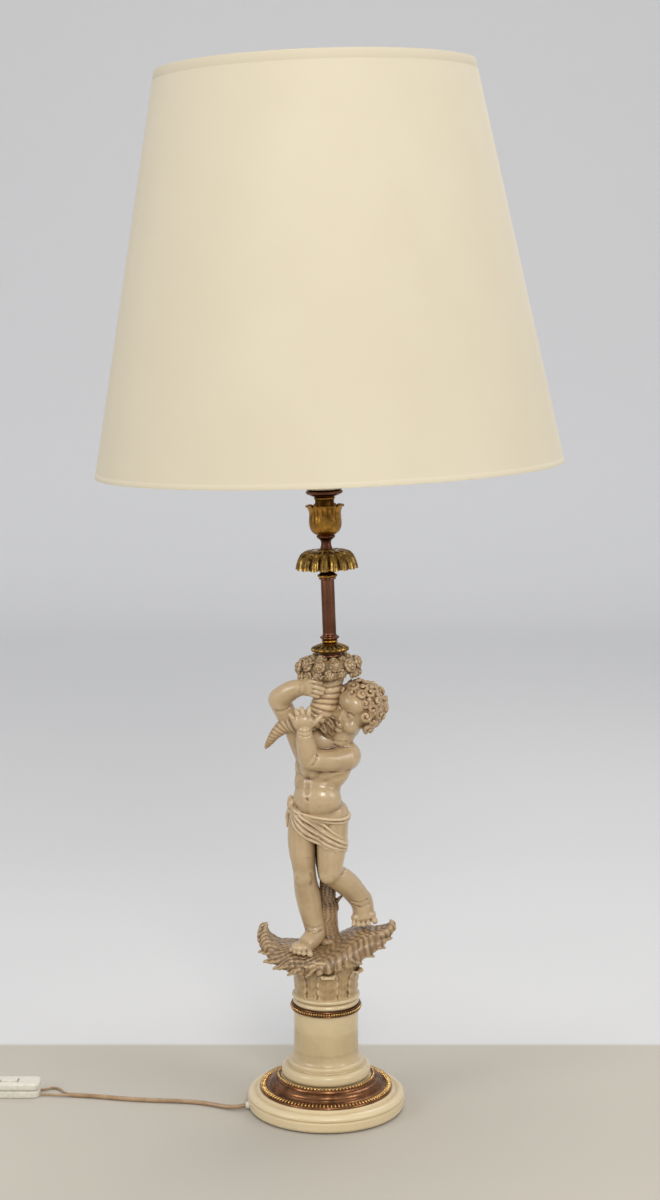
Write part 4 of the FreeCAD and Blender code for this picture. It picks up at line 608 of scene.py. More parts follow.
class LampFlex(bpy.types.PropertyGroup):
    flex_width: bpy.props.FloatProperty(
        name="Flex width", description="Width of the flat twin flex", subtype="DISTANCE",
        unit="LENGTH", default=0.0044, min=0.002)
    core_width: bpy.props.FloatProperty(
        name="Core width", description="Width of one core where the flex is split", subtype="DISTANCE",
        unit="LENGTH", default=0.0024, min=0.001)


class LampStage(bpy.types.PropertyGroup):
    floor_colour: bpy.props.FloatVectorProperty(
        name="Floor", description="Colour of the table", subtype="COLOR", size=3,
        min=0, max=1, default=shade_of(190, 184, 173)[:3])
    wall_colour: bpy.props.FloatVectorProperty(
        name="Wall", description="Colour of the backdrop", subtype="COLOR", size=3,
        min=0, max=1, default=shade_of(236, 236, 237)[:3])
    lens: bpy.props.FloatProperty(
        name="Lens", description="Camera lens in mm on a 36 mm tall frame", default=63.2, min=10)


# --- stage -----------------------------------------------------------------------------------------
CAMERA_PLACE = (0.004, -2.02755, 0.8037)
CAMERA_DROP = 8.147
TABLE_EDGE = (0.168, 0.178)
WALL_FADE = (1.0, 3.4)
LAMPS = (("key_light", (0.35, -2.4, 1.9), 0.9, 28), ("left_light", (-1.9, -1.2, 1.2), 1.0, 12),
         ("right_light", (1.9, -1.1, 1.3), 1.0, 10), ("top_light", (0.0, -0.1, 2.7), 1.8, 18),
         ("back_light", (0.6, 1.2, 1.9), 1.2, 8))


class LAMP_OT_stage(bpy.types.Operator):
    """Set the pale table and backdrop, the soft lights and the camera"""
    bl_idname = "lamp.stage"
    bl_label = "Studio stage"

    def execute(self, context):
        look = context.scene.lamp_stage
        settle()
        bpy.ops.mesh.primitive_plane_add(size=1.0)
        floor = named("studio_floor")
        floor.scale = (9.0, 9.0, 1.0)
        floor.location = (0, -0.9, 0)
        freeze(floor)
        bpy.ops.object.mode_set(mode="EDIT")
        bpy.ops.mesh.select_all(action="DESELECT")
        skin = bmesh.from_edit_mesh(floor.data)
        for edge in skin.edges:
            edge.select_set(all(v.co.y > 2.0 for v in edge.verts))
        bmesh.update_edit_mesh(floor.data)
        bpy.ops.mesh.extrude_region_move(TRANSFORM_OT_translate={"value": (0, 0.0, 5.0)})
        bpy.ops.object.mode_set(mode="OBJECT")
        modify(floor, "BEVEL", width=0.6, segments=12, limit_method="ANGLE")
        smooth(floor, 60)
        material, tree, shader = new_material("studio paper", roughness=0.75)
        shader.inputs["Specular IOR Level"].default_value = 0.3
        where = object_place(tree)
        haze = noise_of(tree, where, 2.0, 3.0)
        base = (*look.floor_colour, 1.0)
        lower = tuple(value * 0.94 for value in look.floor_colour) + (1.0,)
        table = mix_colours(tree, ramp(tree, haze, 0.3, 0.7), base, lower)
        depth = add_node(tree, "ShaderNodeSeparateXYZ", {0: where}).outputs[1]
        beyond = tuple(value * 0.78 for value in look.wall_colour) + (1.0,)
        ground = mix_colours(tree, ramp(tree, depth, *TABLE_EDGE), table, beyond)
        feed(tree, shader, Base_Color=mix_colours(tree, ramp(tree, depth, *WALL_FADE), ground,
                                                  (*look.wall_colour, 1.0)))
        floor.data.materials.append(material)

        world = bpy.data.worlds.new("studio world")
        context.scene.world = world
        world.use_nodes = True
        world.node_tree.nodes["Background"].inputs["Color"].default_value = (0.95, 0.97, 1.0, 1.0)
        world.node_tree.nodes["Background"].inputs["Strength"].default_value = 0.55
        for name, place, size, power in LAMPS:
            aim = Vector((0, 0, 0.45)) - Vector(place)
            bpy.ops.object.light_add(type="AREA", location=place,
                                     rotation=aim.to_track_quat("-Z", "Y").to_euler())
            lamp = bpy.context.active_object
            lamp.name = name
            lamp.data.shape = "DISK"
            lamp.data.size = size
            lamp.data.energy = power
            lamp.data.color = (1.0, 0.97, 0.93)

        drop = math.radians(90 - CAMERA_DROP)
        bpy.ops.object.camera_add(location=CAMERA_PLACE, rotation=(drop, 0, 0))
        camera = bpy.context.active_object
        camera.name = "studio_camera"
        camera.data.sensor_fit = "VERTICAL"
        camera.data.sensor_height = 36.0
        camera.data.lens = look.lens
        context.scene.camera = camera
        context.scene.view_settings.view_transform = "Standard"
        settle()
        return {"FINISHED"}


# --- flex, switch and plug -------------------------------------------------------------------------
EXIT_WAY = Vector((math.cos(math.radians(190)), math.sin(math.radians(190)), 0))
EXIT_POINT = EXIT_WAY * 81.8 + Vector((0, 0, 5.2))
REST = 2.4
SPLIT_X = -258.5
SPLIT_GAP = 1.25
SWITCH_MIDDLE = Vector((-322.5, 29.0, 0))
SWITCH_RIGHT = -291.5
SWITCH_LEFT = -353.5
COIL_MIDDLE = Vector((-404.0, 67.5, 0))
COIL_PITCH = 5.0
COIL_HALF_TURNS = 8
COIL_OUTER = 38.0
COIL_STEPS = 6
PLUG_BACK = Vector((-421.0, -22.0, 6.85))


def table_run():
    """From the base across the table to where the flex is split, in mm."""
    return [EXIT_POINT, EXIT_POINT + EXIT_WAY * 12.0 + Vector((0, 0, -1.6)),
            (-106.0, -8.5, REST), (-127.0, 1.0, REST), (-150.0, 4.5, REST), (-178.0, 6.5, REST),
            (-207.0, 11.0, REST), (-234.0, 17.5, REST), (-258.0, 21.0, REST)]


def front_core_run():
    y = 21.0 - SPLIT_GAP
    return [(SPLIT_X, y, REST), (-268.0, y, REST), (-280.0, 22.5, REST - 0.4),
            (SWITCH_RIGHT + 0.7, 23.0, REST)]


def rear_core_run():
    y = 21.0 + SPLIT_GAP
    return [(SPLIT_X, y, REST), (-264.0, y + 2.5, REST), (-268.5, 30.5, REST - 0.4),
            (-272.0, 38.5, REST - 0.8), (-278.5, 42.5, REST - 0.8), (-285.5, 39.5, REST - 0.4),
            (SWITCH_RIGHT + 0.7, 34.5, REST)]


def coil_radii():
    """Radius and height where each half turn of the stored coil starts: in, up, and out again."""
    low = [(COIL_OUTER - i * COIL_PITCH / 2, REST) for i in range(COIL_HALF_TURNS + 1)]
    inner = COIL_OUTER - COIL_HALF_TURNS * COIL_PITCH / 2 - COIL_PITCH / 4
    high = [(inner, REST + COIL_PITCH)]
    high += [(inner + i * COIL_PITCH / 2 + COIL_PITCH / 4, REST + COIL_PITCH)
             for i in range(1, COIL_HALF_TURNS)]
    return low + high


def coil_run():
    """The stored coil's own points, six to a half turn, each just outside the line it draws."""
    ends = coil_radii()
    push = 1 / math.cos(math.pi / COIL_STEPS / 2)
    points = []
    for index, ((r0, z0), (r1, z1)) in enumerate(zip(ends, ends[1:])):
        for step in range(COIL_STEPS):
            share = (step + 0.5) / COIL_STEPS
            angle = -math.pi / 2 - (index + share) * math.pi
            radius = (r0 + (r1 - r0) * share) * push
            points.append(COIL_MIDDLE + Vector((radius * math.cos(angle), radius * math.sin(angle),
                                                z0 + (z1 - z0) * share)))
    return points


def stored_run():
    """From the switch, through the coil outside the picture, to the plug."""
    radii = coil_radii()
    start = COIL_MIDDLE + Vector((0, -radii[0][0], REST))
    last_side = -1 if (len(radii) - 1) % 2 == 0 else 1
    end = COIL_MIDDLE + Vector((0, last_side * radii[-1][0], radii[-1][1]))
    coil_in = start + Vector((4.6, 0, 0))
    coil_out = end - Vector((4.4, 0, 0))
    lead = [(SWITCH_LEFT - 0.2, 29.0, REST), (SWITCH_LEFT - 14.0, 29.0, REST),
            (coil_in.x + 12.0, coil_in.y - 1.5, REST), coil_in, start]
    tail = [end, coil_out, coil_out + Vector((-18.0, 0, 0)), coil_out + Vector((-35.0, -7.0, -3.4)),
            Vector((coil_out.x - 45.0, coil_out.y - 24.0, REST)),
            Vector((PLUG_BACK.x - 24.0, PLUG_BACK.y + 8.0, REST + 0.6)),
            Vector((PLUG_BACK.x - 11.0, PLUG_BACK.y, PLUG_BACK.z - 0.6)), PLUG_BACK]
    return lead + coil_run() + tail


def cord_curve(name, points, width, resolution=6):
    """A round cord along the points as one smooth open spline."""
    settle()
    bpy.ops.curve.primitive_nurbs_path_add()
    item = named(name)
    line = item.data
    line.splines.clear()
    spline = line.splines.new("NURBS")
    spline.points.add(len(points) - 1)
    for spot, place in zip(spline.points, points):
        spot.co = (*(Vector(place) * MM), 1.0)
    spline.order_u = 3
    spline.use_endpoint_u = True
    line.dimensions = "3D"
    line.resolution_u = resolution
    line.bevel_depth = width / 2
    line.bevel_resolution = 3
    line.use_fill_caps = True
    return item


class LAMP_OT_flex(bpy.types.Operator):
    """Lay the gold flex on the table, with its split cores, its stored coil and its tail to the plug"""
    bl_idname = "lamp.flex"
    bl_label = "Flex"

    def execute(self, context):
        size = context.scene.lamp_flex
        plug = [bpy.data.objects["plug_moulding"], bpy.data.objects["plug_contacts"]]
        runs = (("flex_on_table", table_run(), 0.183, size.flex_width, ["flex_run"], "object", []),
                ("split_core_front", front_core_run(), 0.0326, size.core_width, ["split_cores"],
                 "object", []),
                ("split_core_rear", rear_core_run(), 0.0437, size.core_width, ["split_cores"],
                 "object", []),
                ("stored_flex", stored_run(), 1.503, size.flex_width,
                 ["flex_short_lead", "flex_coil", "flex_tail"], "plug", plug))
        for name, points, length, width, nodes, far_end, pieces in runs:
            item = cord_curve(name, points, width)
            finish_piece(item, "gold_flex", "flex", *nodes)
        return {"FINISHED"}


# --- base, drum and stem ---------------------------------------------------------------------------
def ring_of_copies(item, name, count):
    """Copy one small form round the upright axis count times, and join the copies as one piece."""
    grab(item)
    done = 1
    while done < count:
        take = min(done, count - done)
        settle()
        copy = item.copy()
        copy.data = item.data.copy()
        bpy.context.collection.objects.link(copy)
        if take < done:
            grab(copy)
            bpy.ops.object.mode_set(mode="EDIT")
            skin = bmesh.from_edit_mesh(copy.data)
            skin.verts.ensure_lookup_table()
            spare = [v for v in skin.verts if v.index >= take * len(skin.verts) // done]
            bmesh.ops.delete(skin, geom=spare, context="VERTS")
            bmesh.update_edit_mesh(copy.data)
            bpy.ops.object.mode_set(mode="OBJECT")
        copy.rotation_euler = (0, 0, FULL_TURN * done / count)
        freeze(copy)
        item = joined(name, item, copy)
        done += take
    return item


def place_on_stem(item, along=0.0, x=0.0):
    """Move a form made upright about the origin, in mm, onto the leaning stem."""
    item.location = on_stem(x=x, along=along) * MM
    item.rotation_euler = (0, -STEM_LEAN, 0)
    item.scale = (MM, MM, MM)
    return freeze(item)


def bead_row(name, radius, height, bead, count, stretch=(1.0, 1.0, 1.0)):
    """A row of small beads round the upright axis, in mm."""
    settle()
    bpy.ops.mesh.primitive_uv_sphere_add(segments=10, ring_count=6, radius=bead)
    item = bpy.context.active_object
    item.scale = stretch
    item.location = (radius, 0, height)
    freeze(item)
    item = ring_of_copies(item, name, count)
    item.scale = (MM, MM, MM)
    freeze(item)
    bpy.ops.object.shade_smooth()
    return item


class LAMP_OT_base(bpy.types.Operator):
    """Turn the glazed plinth and drum, and the copper step with its rows of beads"""
    bl_idname = "lamp.base"
    bl_label = "Base and drum"

    def execute(self, context):
        detail = context.scene.lamp_detail
        plinth = turned("plinth_glazed", [
            (24.0, 1.5), (76.6, 1.5), (78.3, 3.2), (78.5, 4.5), (78.5, 9.8), (78.0, 10.9), (77.0, 11.3, 0.2),
            (77.0, 11.9, 0.2), (78.0, 12.3), (78.4, 13.4), (78.2, 15.0), (76.0, 17.6, 1.2),
            (72.5, 18.4), (71.2, 18.2, 0.2), (70.2, 17.8, 0.3), (69.3, 18.6), (68.0, 20.3), (66.5, 20.5),
            (60.0, 20.5, 0), (46.0, 33.0, 0), (24.0, 33.4, 0), (24.0, 1.5, 0)], 0.9, steps=192,
            leaning=False)
        mark_recess(plinth, reach=10, depth=0.6)
        finish_piece(plinth, "ivory_resin", "plinth", "upper_plinth")

        step = turned("copper_step", [
            (60.5, 20.65, 0), (66.1, 20.65, 0), (66.0, 21.8), (64.8, 22.8), (60.4, 23.6, 0.6),
            (59.6, 23.6, 0.3), (57.6, 24.2, 1.2), (56.2, 25.6, 0.4), (56.0, 27.8, 1.4), (53.8, 30.4, 1.6),
            (50.8, 31.2, 0.9),
            (49.6, 30.8, 0.3), (49.0, 32.4, 0.3), (46.2, 34.4), (45.4, 33.7, 0), (60.5, 20.65, 0)], 0.9,
            steps=192, leaning=False)
        finish_piece(mark_recess(step, 8, 0.5), "gilt_copper", "step", "gilt_step_ring")
        flutes = bead_row("outer_flute_row", 62.9, 23.3, 1.0, detail.bead_rows_outer, (3.3, 1.25, 1.7))
        finish_piece(flutes, "gilt_copper", "gilt")
        beads = bead_row("inner_bead_row", 47.6, 33.9, 1.5, detail.bead_rows_inner, (1.0, 1.0, 1.1))
        finish_piece(beads, "gilt_copper", "gilt")

        drum = turned("drum_glazed", [
            (6.4, 34.8, 0), (42.6, 34.8), (44.4, 36.4, 1.6), (44.6, 39.6, 2.2), (43.6, 43.8, 2.0),
            (41.2, 45.4), (38.0, 45.5, 0.3), (37.4, 46.4, 0.4), (37.7, 48.6, 1.0), (37.2, 50.8, 0.9),
            (35.4, 51.4),
            (34.6, 52.2, 0.2), (33.4, 55.0, 1.5), (32.4, 61.5, 2.0), (32.2, 80.0, 4.0), (32.35, 102.4, 1.0),
            (31.4, 102.9, 0.3), (31.4, 108.6, 0.3), (32.4, 109.0, 0.3), (33.2, 110.6, 0.8),
            (32.2, 112.4, 0.6), (31.2, 113.4, 0.2), (6.4, 113.4, 0)], 0.6, steps=160, leaning=False)
        finish_piece(mark_recess(drum, 12, 0.6), "ivory_resin", "drum", "column_drum")

        band = turned("drum_band", [(31.5, 102.7, 0), (34.6, 102.7), (35.0, 103.6), (34.0, 104.2),
                                    (34.0, 106.9), (35.0, 107.4), (34.6, 108.3), (31.5, 108.3, 0),
                                    (31.5, 102.7, 0)], 0.35, steps=160, leaning=False)
        finish_piece(mark_recess(band, 3, 0.2), "gilt_brass", "step", "drum_bead_ring")
        row = bead_row("drum_beads", 34.3, 105.5, 1.16, detail.drum_beads, (1.3, 1.0, 1.25))
        finish_piece(row, "gilt_brass", "gilt")
        return {"FINISHED"}


def open_wall(name, around, rows):
    """Rows of points round a circle, joined into an open wall that is still to be shaped."""
    settle()
    bpy.ops.mesh.primitive_circle_add(vertices=around, radius=1.0, fill_type="NOTHING")
    item = named(name)
    bpy.ops.object.mode_set(mode="EDIT")
    for _ in range(rows - 1):
        bpy.ops.mesh.extrude_edges_move()
    bpy.ops.object.mode_set(mode="OBJECT")
    return item


def lobed_shell(name, levels, count, wall, steps=8):
    """A thin shell whose lobes swell outward: levels are (radius, dip, height) in mm, rim first."""
    around = count * steps
    item = open_wall(name, around, len(levels))
    places = vertex_array(item)
    for row, (radius, dip, height) in enumerate(levels):
        for column in range(around):
            turn = FULL_TURN * column / around
            swell = abs(math.sin(turn * count / 2)) ** 0.8
            reach = radius - dip * (1 - swell)
            places[row * around + column] = (reach * math.cos(turn), reach * math.sin(turn),
                                             height + dip * (0.2 if row > 1 else -0.3) * swell)
    set_vertices(item, places)
    modify(item, "SUBSURF", levels=1, render_levels=1)
    outward_faces(item)
    if wall:
        modify(item, "SOLIDIFY", thickness=wall, offset=-1)
    return item


BORE = 4.3


def bored(*outline):
    """Close an outline of the stem along its bore for the threaded tube."""
    low, high = outline[0][1], outline[-1][1]
    return [(BORE, low, 0), *outline, (BORE, high, 0), (BORE, low, 0)]


def stem_ring(name, reach, finish, node, *outline, slot="gilt_copper"):
    """Turn one ring or tube of the stem from its outer line, and finish it."""
    item = mark_recess(turned(name, bored(*outline), reach), 6, 0.4)
    return finish_piece(item, slot, finish, node)


class LAMP_OT_stem(bpy.types.Operator):
    """Turn the copper stem and form its gadrooned collar, drip pan, tulip cup and dish"""
    bl_idname = "lamp.stem"
    bl_label = "Metal stem"

    def execute(self, context):
        detail = context.scene.lamp_detail
        stem_ring("stem_foot_ring", 0.6, "copper", "foot_ring", (8.4, -7.0), (10.0, -2.6), (11.6, -0.6),
                  (11.8, 1.2), (11.4, 2.6), (10.6, 3.0, 0.2), (10.8, 4.0))
        collar = lobed_shell("gadroon_lobes", [
            (4.4, 0.0, 4.3), (11.6, 0.3, 4.3), (15.4, 1.2, 4.5), (18.2, 2.2, 5.3), (19.2, 2.6, 6.9),
            (18.4, 2.5, 8.6), (15.4, 2.0, 10.2), (12.0, 1.3, 11.6), (9.2, 0.5, 12.7), (7.8, 0.1, 13.5),
            (4.4, 0.0, 13.5)], 16, 0.0)
        smooth(place_on_stem(collar), 50)
        finish_piece(mark_recess(collar, 6, 0.45), "gilt_copper", "bronze", "gadroon_collar")
        stem_ring("stem_lower_ring", 0.5, "copper", "lower_stem_ring", (6.6, 13.7), (7.5, 14.5),
                  (6.6, 15.3, 0.2), (6.2, 15.8, 0.2), (7.2, 16.8), (8.9, 17.9), (9.6, 19.0), (8.9, 20.1),
                  (7.4, 20.5, 0.2), (7.2, 21.3))
        stem_ring("stem_column", 0.3, "copper", "stem_tube", (6.8, 21.4, 0.3), (6.8, 22.6), (6.6, 23.2),
                  (6.6, 75.6, 0.3))
        stem_ring("stem_upper_ring", 0.5, "copper", "upper_stem_ring", (7.6, 75.7), (8.5, 76.7),
                  (8.0, 77.8, 0.2), (8.9, 78.4), (9.5, 79.7), (8.9, 81.0), (7.9, 81.3, 0.2),
                  (6.6, 83.2, 0.8), (5.4, 85.6, 0.8), (5.0, 88.6))
        for name, low, reach in (("stem_gold_bead_low", 13.9, 8.0), ("stem_gold_bead_high", 78.3, 9.9)):
            bead = turned(name, [(reach - 3.4, low + 0.2, 0), (reach - 0.6, low), (reach, low + 1.3),
                                 (reach - 0.6, low + 2.6), (reach - 3.4, low + 2.4, 0),
                                 (reach - 3.4, low + 0.2, 0)], 0.6)
            finish_piece(mark_recess(bead, 6, 0.4), "gilt_copper", "brass")

        pan = lobed_shell("drip_pan_lobes", [
            (30.8, 3.2, 87.6), (30.6, 3.6, 88.8), (29.5, 3.8, 92.0), (28.0, 3.8, 96.0), (26.0, 3.4, 99.8),
            (22.9, 2.8, 102.6), (18.6, 2.1, 104.2), (13.9, 1.2, 104.6), (9.8, 0.4, 103.6),
            (7.2, 0.0, 103.2)], detail.pan_lobes, 1.2, steps=10)
        hub = turned("pan_hub", bored((6.0, 88.7), (6.0, 101.4), (9.4, 102.4), (8.0, 105.3), (5.6, 106.0)),
                     0.4, leaning=False)
        pan = place_on_stem(joined("drip_pan_lobes", pan, in_millimetres(hub)))
        smooth(pan, 50)
        finish_piece(mark_recess(pan, 6, 0.45), "gilt_copper", "bronze", "drip_pan")
        stem_ring("stem_neck_turned", 0.6, "copper", "stem_neck", (6.9, 104.0), (5.8, 106.8),
                  (4.9, 109.6, 1.0), (4.9, 112.6, 1.0), (5.9, 114.8, 0.9), (8.4, 116.4), (9.3, 117.7),
                  (8.7, 118.9), (7.7, 120.0), slot="gilt_brass")
        self.form_cup()
        stem_ring("candle_tube", 0.4, "brass", "candle_nozzle", (7.6, 123.0), (9.4, 127.6),
                  (9.5, 145.0, 0.3), (10.1, 145.8), (10.1, 147.0), (9.3, 147.6, 0.2), (9.2, 153.6, 0.3),
                  (10.2, 154.3),
                  (10.4, 155.5), (9.6, 156.4), slot="gilt_brass")
        stem_ring("holder_dish_turned", 0.5, "copper", "holder_dish", (9.6, 156.5), (12.6, 157.3),
                  (16.4, 159.0), (17.9, 160.0), (18.0, 161.6), (17.2, 162.4), (16.4, 162.0), (15.6, 161.4))
        return {"FINISHED"}

    def form_cup(self):
        """A tulip: a fluted bowl whose four broad petals curl out at their tips."""
        around, rows = 96, 22
        cup = open_wall("tulip_cup_petals", around, rows)
        places = vertex_array(cup)
        outline = ((7.4, 0.0), (9.8, 0.9), (12.6, 3.2), (14.3, 7.0), (14.6, 11.5), (14.2, 15.5),
                   (13.8, 19.0), (14.2, 22.6), (15.6, 26.2), (17.4, 28.3), (18.6, 28.0), (18.8, 26.0))
        for row in range(rows):
            share = row / (rows - 1)
            spot = share * (len(outline) - 1)
            for column in range(around):
                turn = FULL_TURN * column / around
                petal = abs(math.cos(2 * turn)) ** 0.45
                here = min(spot * (0.70 + 0.30 * petal), len(outline) - 1.001)
                step = int(here)
                part = here - step
                radius = outline[step][0] * (1 - part) + outline[step + 1][0] * part
                height = outline[step][1] * (1 - part) + outline[step + 1][1] * part
                rib = 0.3 * math.cos(20 * turn) * min(share * 2, 1.0)
                radius += rib - 2.4 * (1 - petal) ** 2 * share
                places[row * around + column] = (radius * math.cos(turn), radius * math.sin(turn), height)
        set_vertices(cup, places)
        outward_faces(cup)
        modify(cup, "SOLIDIFY", thickness=1.3, offset=-1)
        modify(cup, "SUBSURF", levels=1, render_levels=1)
        smooth(place_on_stem(cup, 120.4), 50)
        foot = turned("cup_foot", [(BORE, 120.1, 0), (7.6, 120.1), (8.2, 121.1), (8.6, 122.1),
                                   (BORE, 122.5, 0), (BORE, 120.1, 0)], 0.4)
        cup = joined("tulip_cup_petals", cup, foot)
        finish_piece(mark_recess(cup, 5, 0.35), "gilt_brass", "brass", "tulip_cup")


# --- carving tools ---------------------------------------------------------------------------------
SIGHT_START = -120.0
MOST_TRIANGLES = 190000


def flowing(points, spacing=0.6):
    """Close samples of a smooth line through the points, in mm."""
    spots = np.array(points, dtype=float)
    if len(spots) == 1:
        return spots
    ends = np.vstack([2 * spots[0] - spots[1], spots, 2 * spots[-1] - spots[-2]])
    samples = []
    for a, b, c, d in zip(ends, ends[1:], ends[2:], ends[3:]):
        count = max(2, int(np.linalg.norm(c - b) / spacing))
        for step in range(count):
            t = step / count
            samples.append(0.5 * (2 * b + (c - a) * t + (2 * a - 5 * b + 4 * c - d) * t * t
                                  + (3 * b - a - 3 * c + d) * t ** 3))
    samples.append(spots[-1])
    return np.array(samples)


def pressed(item, points, width, depth):
    """Press a soft channel along a line near the surface, in mm; a negative depth raises a ridge."""
    line = flowing(points)
    places = vertex_array(item) / MM
    near = ((places > line.min(axis=0) - 3 * width) & (places < line.max(axis=0) + 3 * width)).all(axis=1)
    near = np.nonzero(near)[0]
    gaps = np.full(len(near), 1e9)
    for spot in line:
        gaps = np.minimum(gaps, np.linalg.norm(places[near] - spot, axis=1))
    push = depth * np.exp(-(gaps / width) ** 2)
    places[near] -= normal_array(item)[near] * push[:, None]
    set_vertices(item, places * MM)
    return item


def met(item, spots):
    """Where lines of sight from the front through (x, z) spots, in mm, first meet the piece."""
    found = []
    for x, z in spots:
        hit, place, _, _ = item.ray_cast(Vector((x, SIGHT_START, z)) * MM, Vector((0, 1, 0)))
        if not hit:
            raise RuntimeError(f"nothing met at {x}, {z}")
        found.append(tuple(place / MM))
    return found


def thinned(item, limit):
    """Bring a piece under so many triangles."""
    count = sum(len(face.vertices) - 2 for face in item.data.polygons)
    if count > limit:
        modify(item, "DECIMATE", ratio=limit / count)
    return item


def clay(name, rough, fine, coarse_voxel, fine_voxel, passes, swell=0.8):
    """Big forms melted together on a coarse grid, then small ones added and skinned finely."""
    base = kneaded(name, rough, coarse_voxel, passes[0])
    set_vertices(base, vertex_array(base) + normal_array(base) * swell * MM)
    return kneaded(name, [base, *fine], fine_voxel, passes[1])


def press_seen(item, *marks):
    """Press channels where lines of sight meet the piece; a mark is its width, depth and (x, z) spots."""
    for width, depth, *spots in marks:
        pressed(item, met(item, spots), width, depth)


# --- the child: body and legs ----------------------------------------------------------------------
def finger(root, middle, tip, radius):
    """One finger or toe in three rolls of (x, y, z), thinning to its tip."""
    return roll([(*root, radius * 1.02), (*middle, radius), (*tip, radius * 0.82)], sides=3)


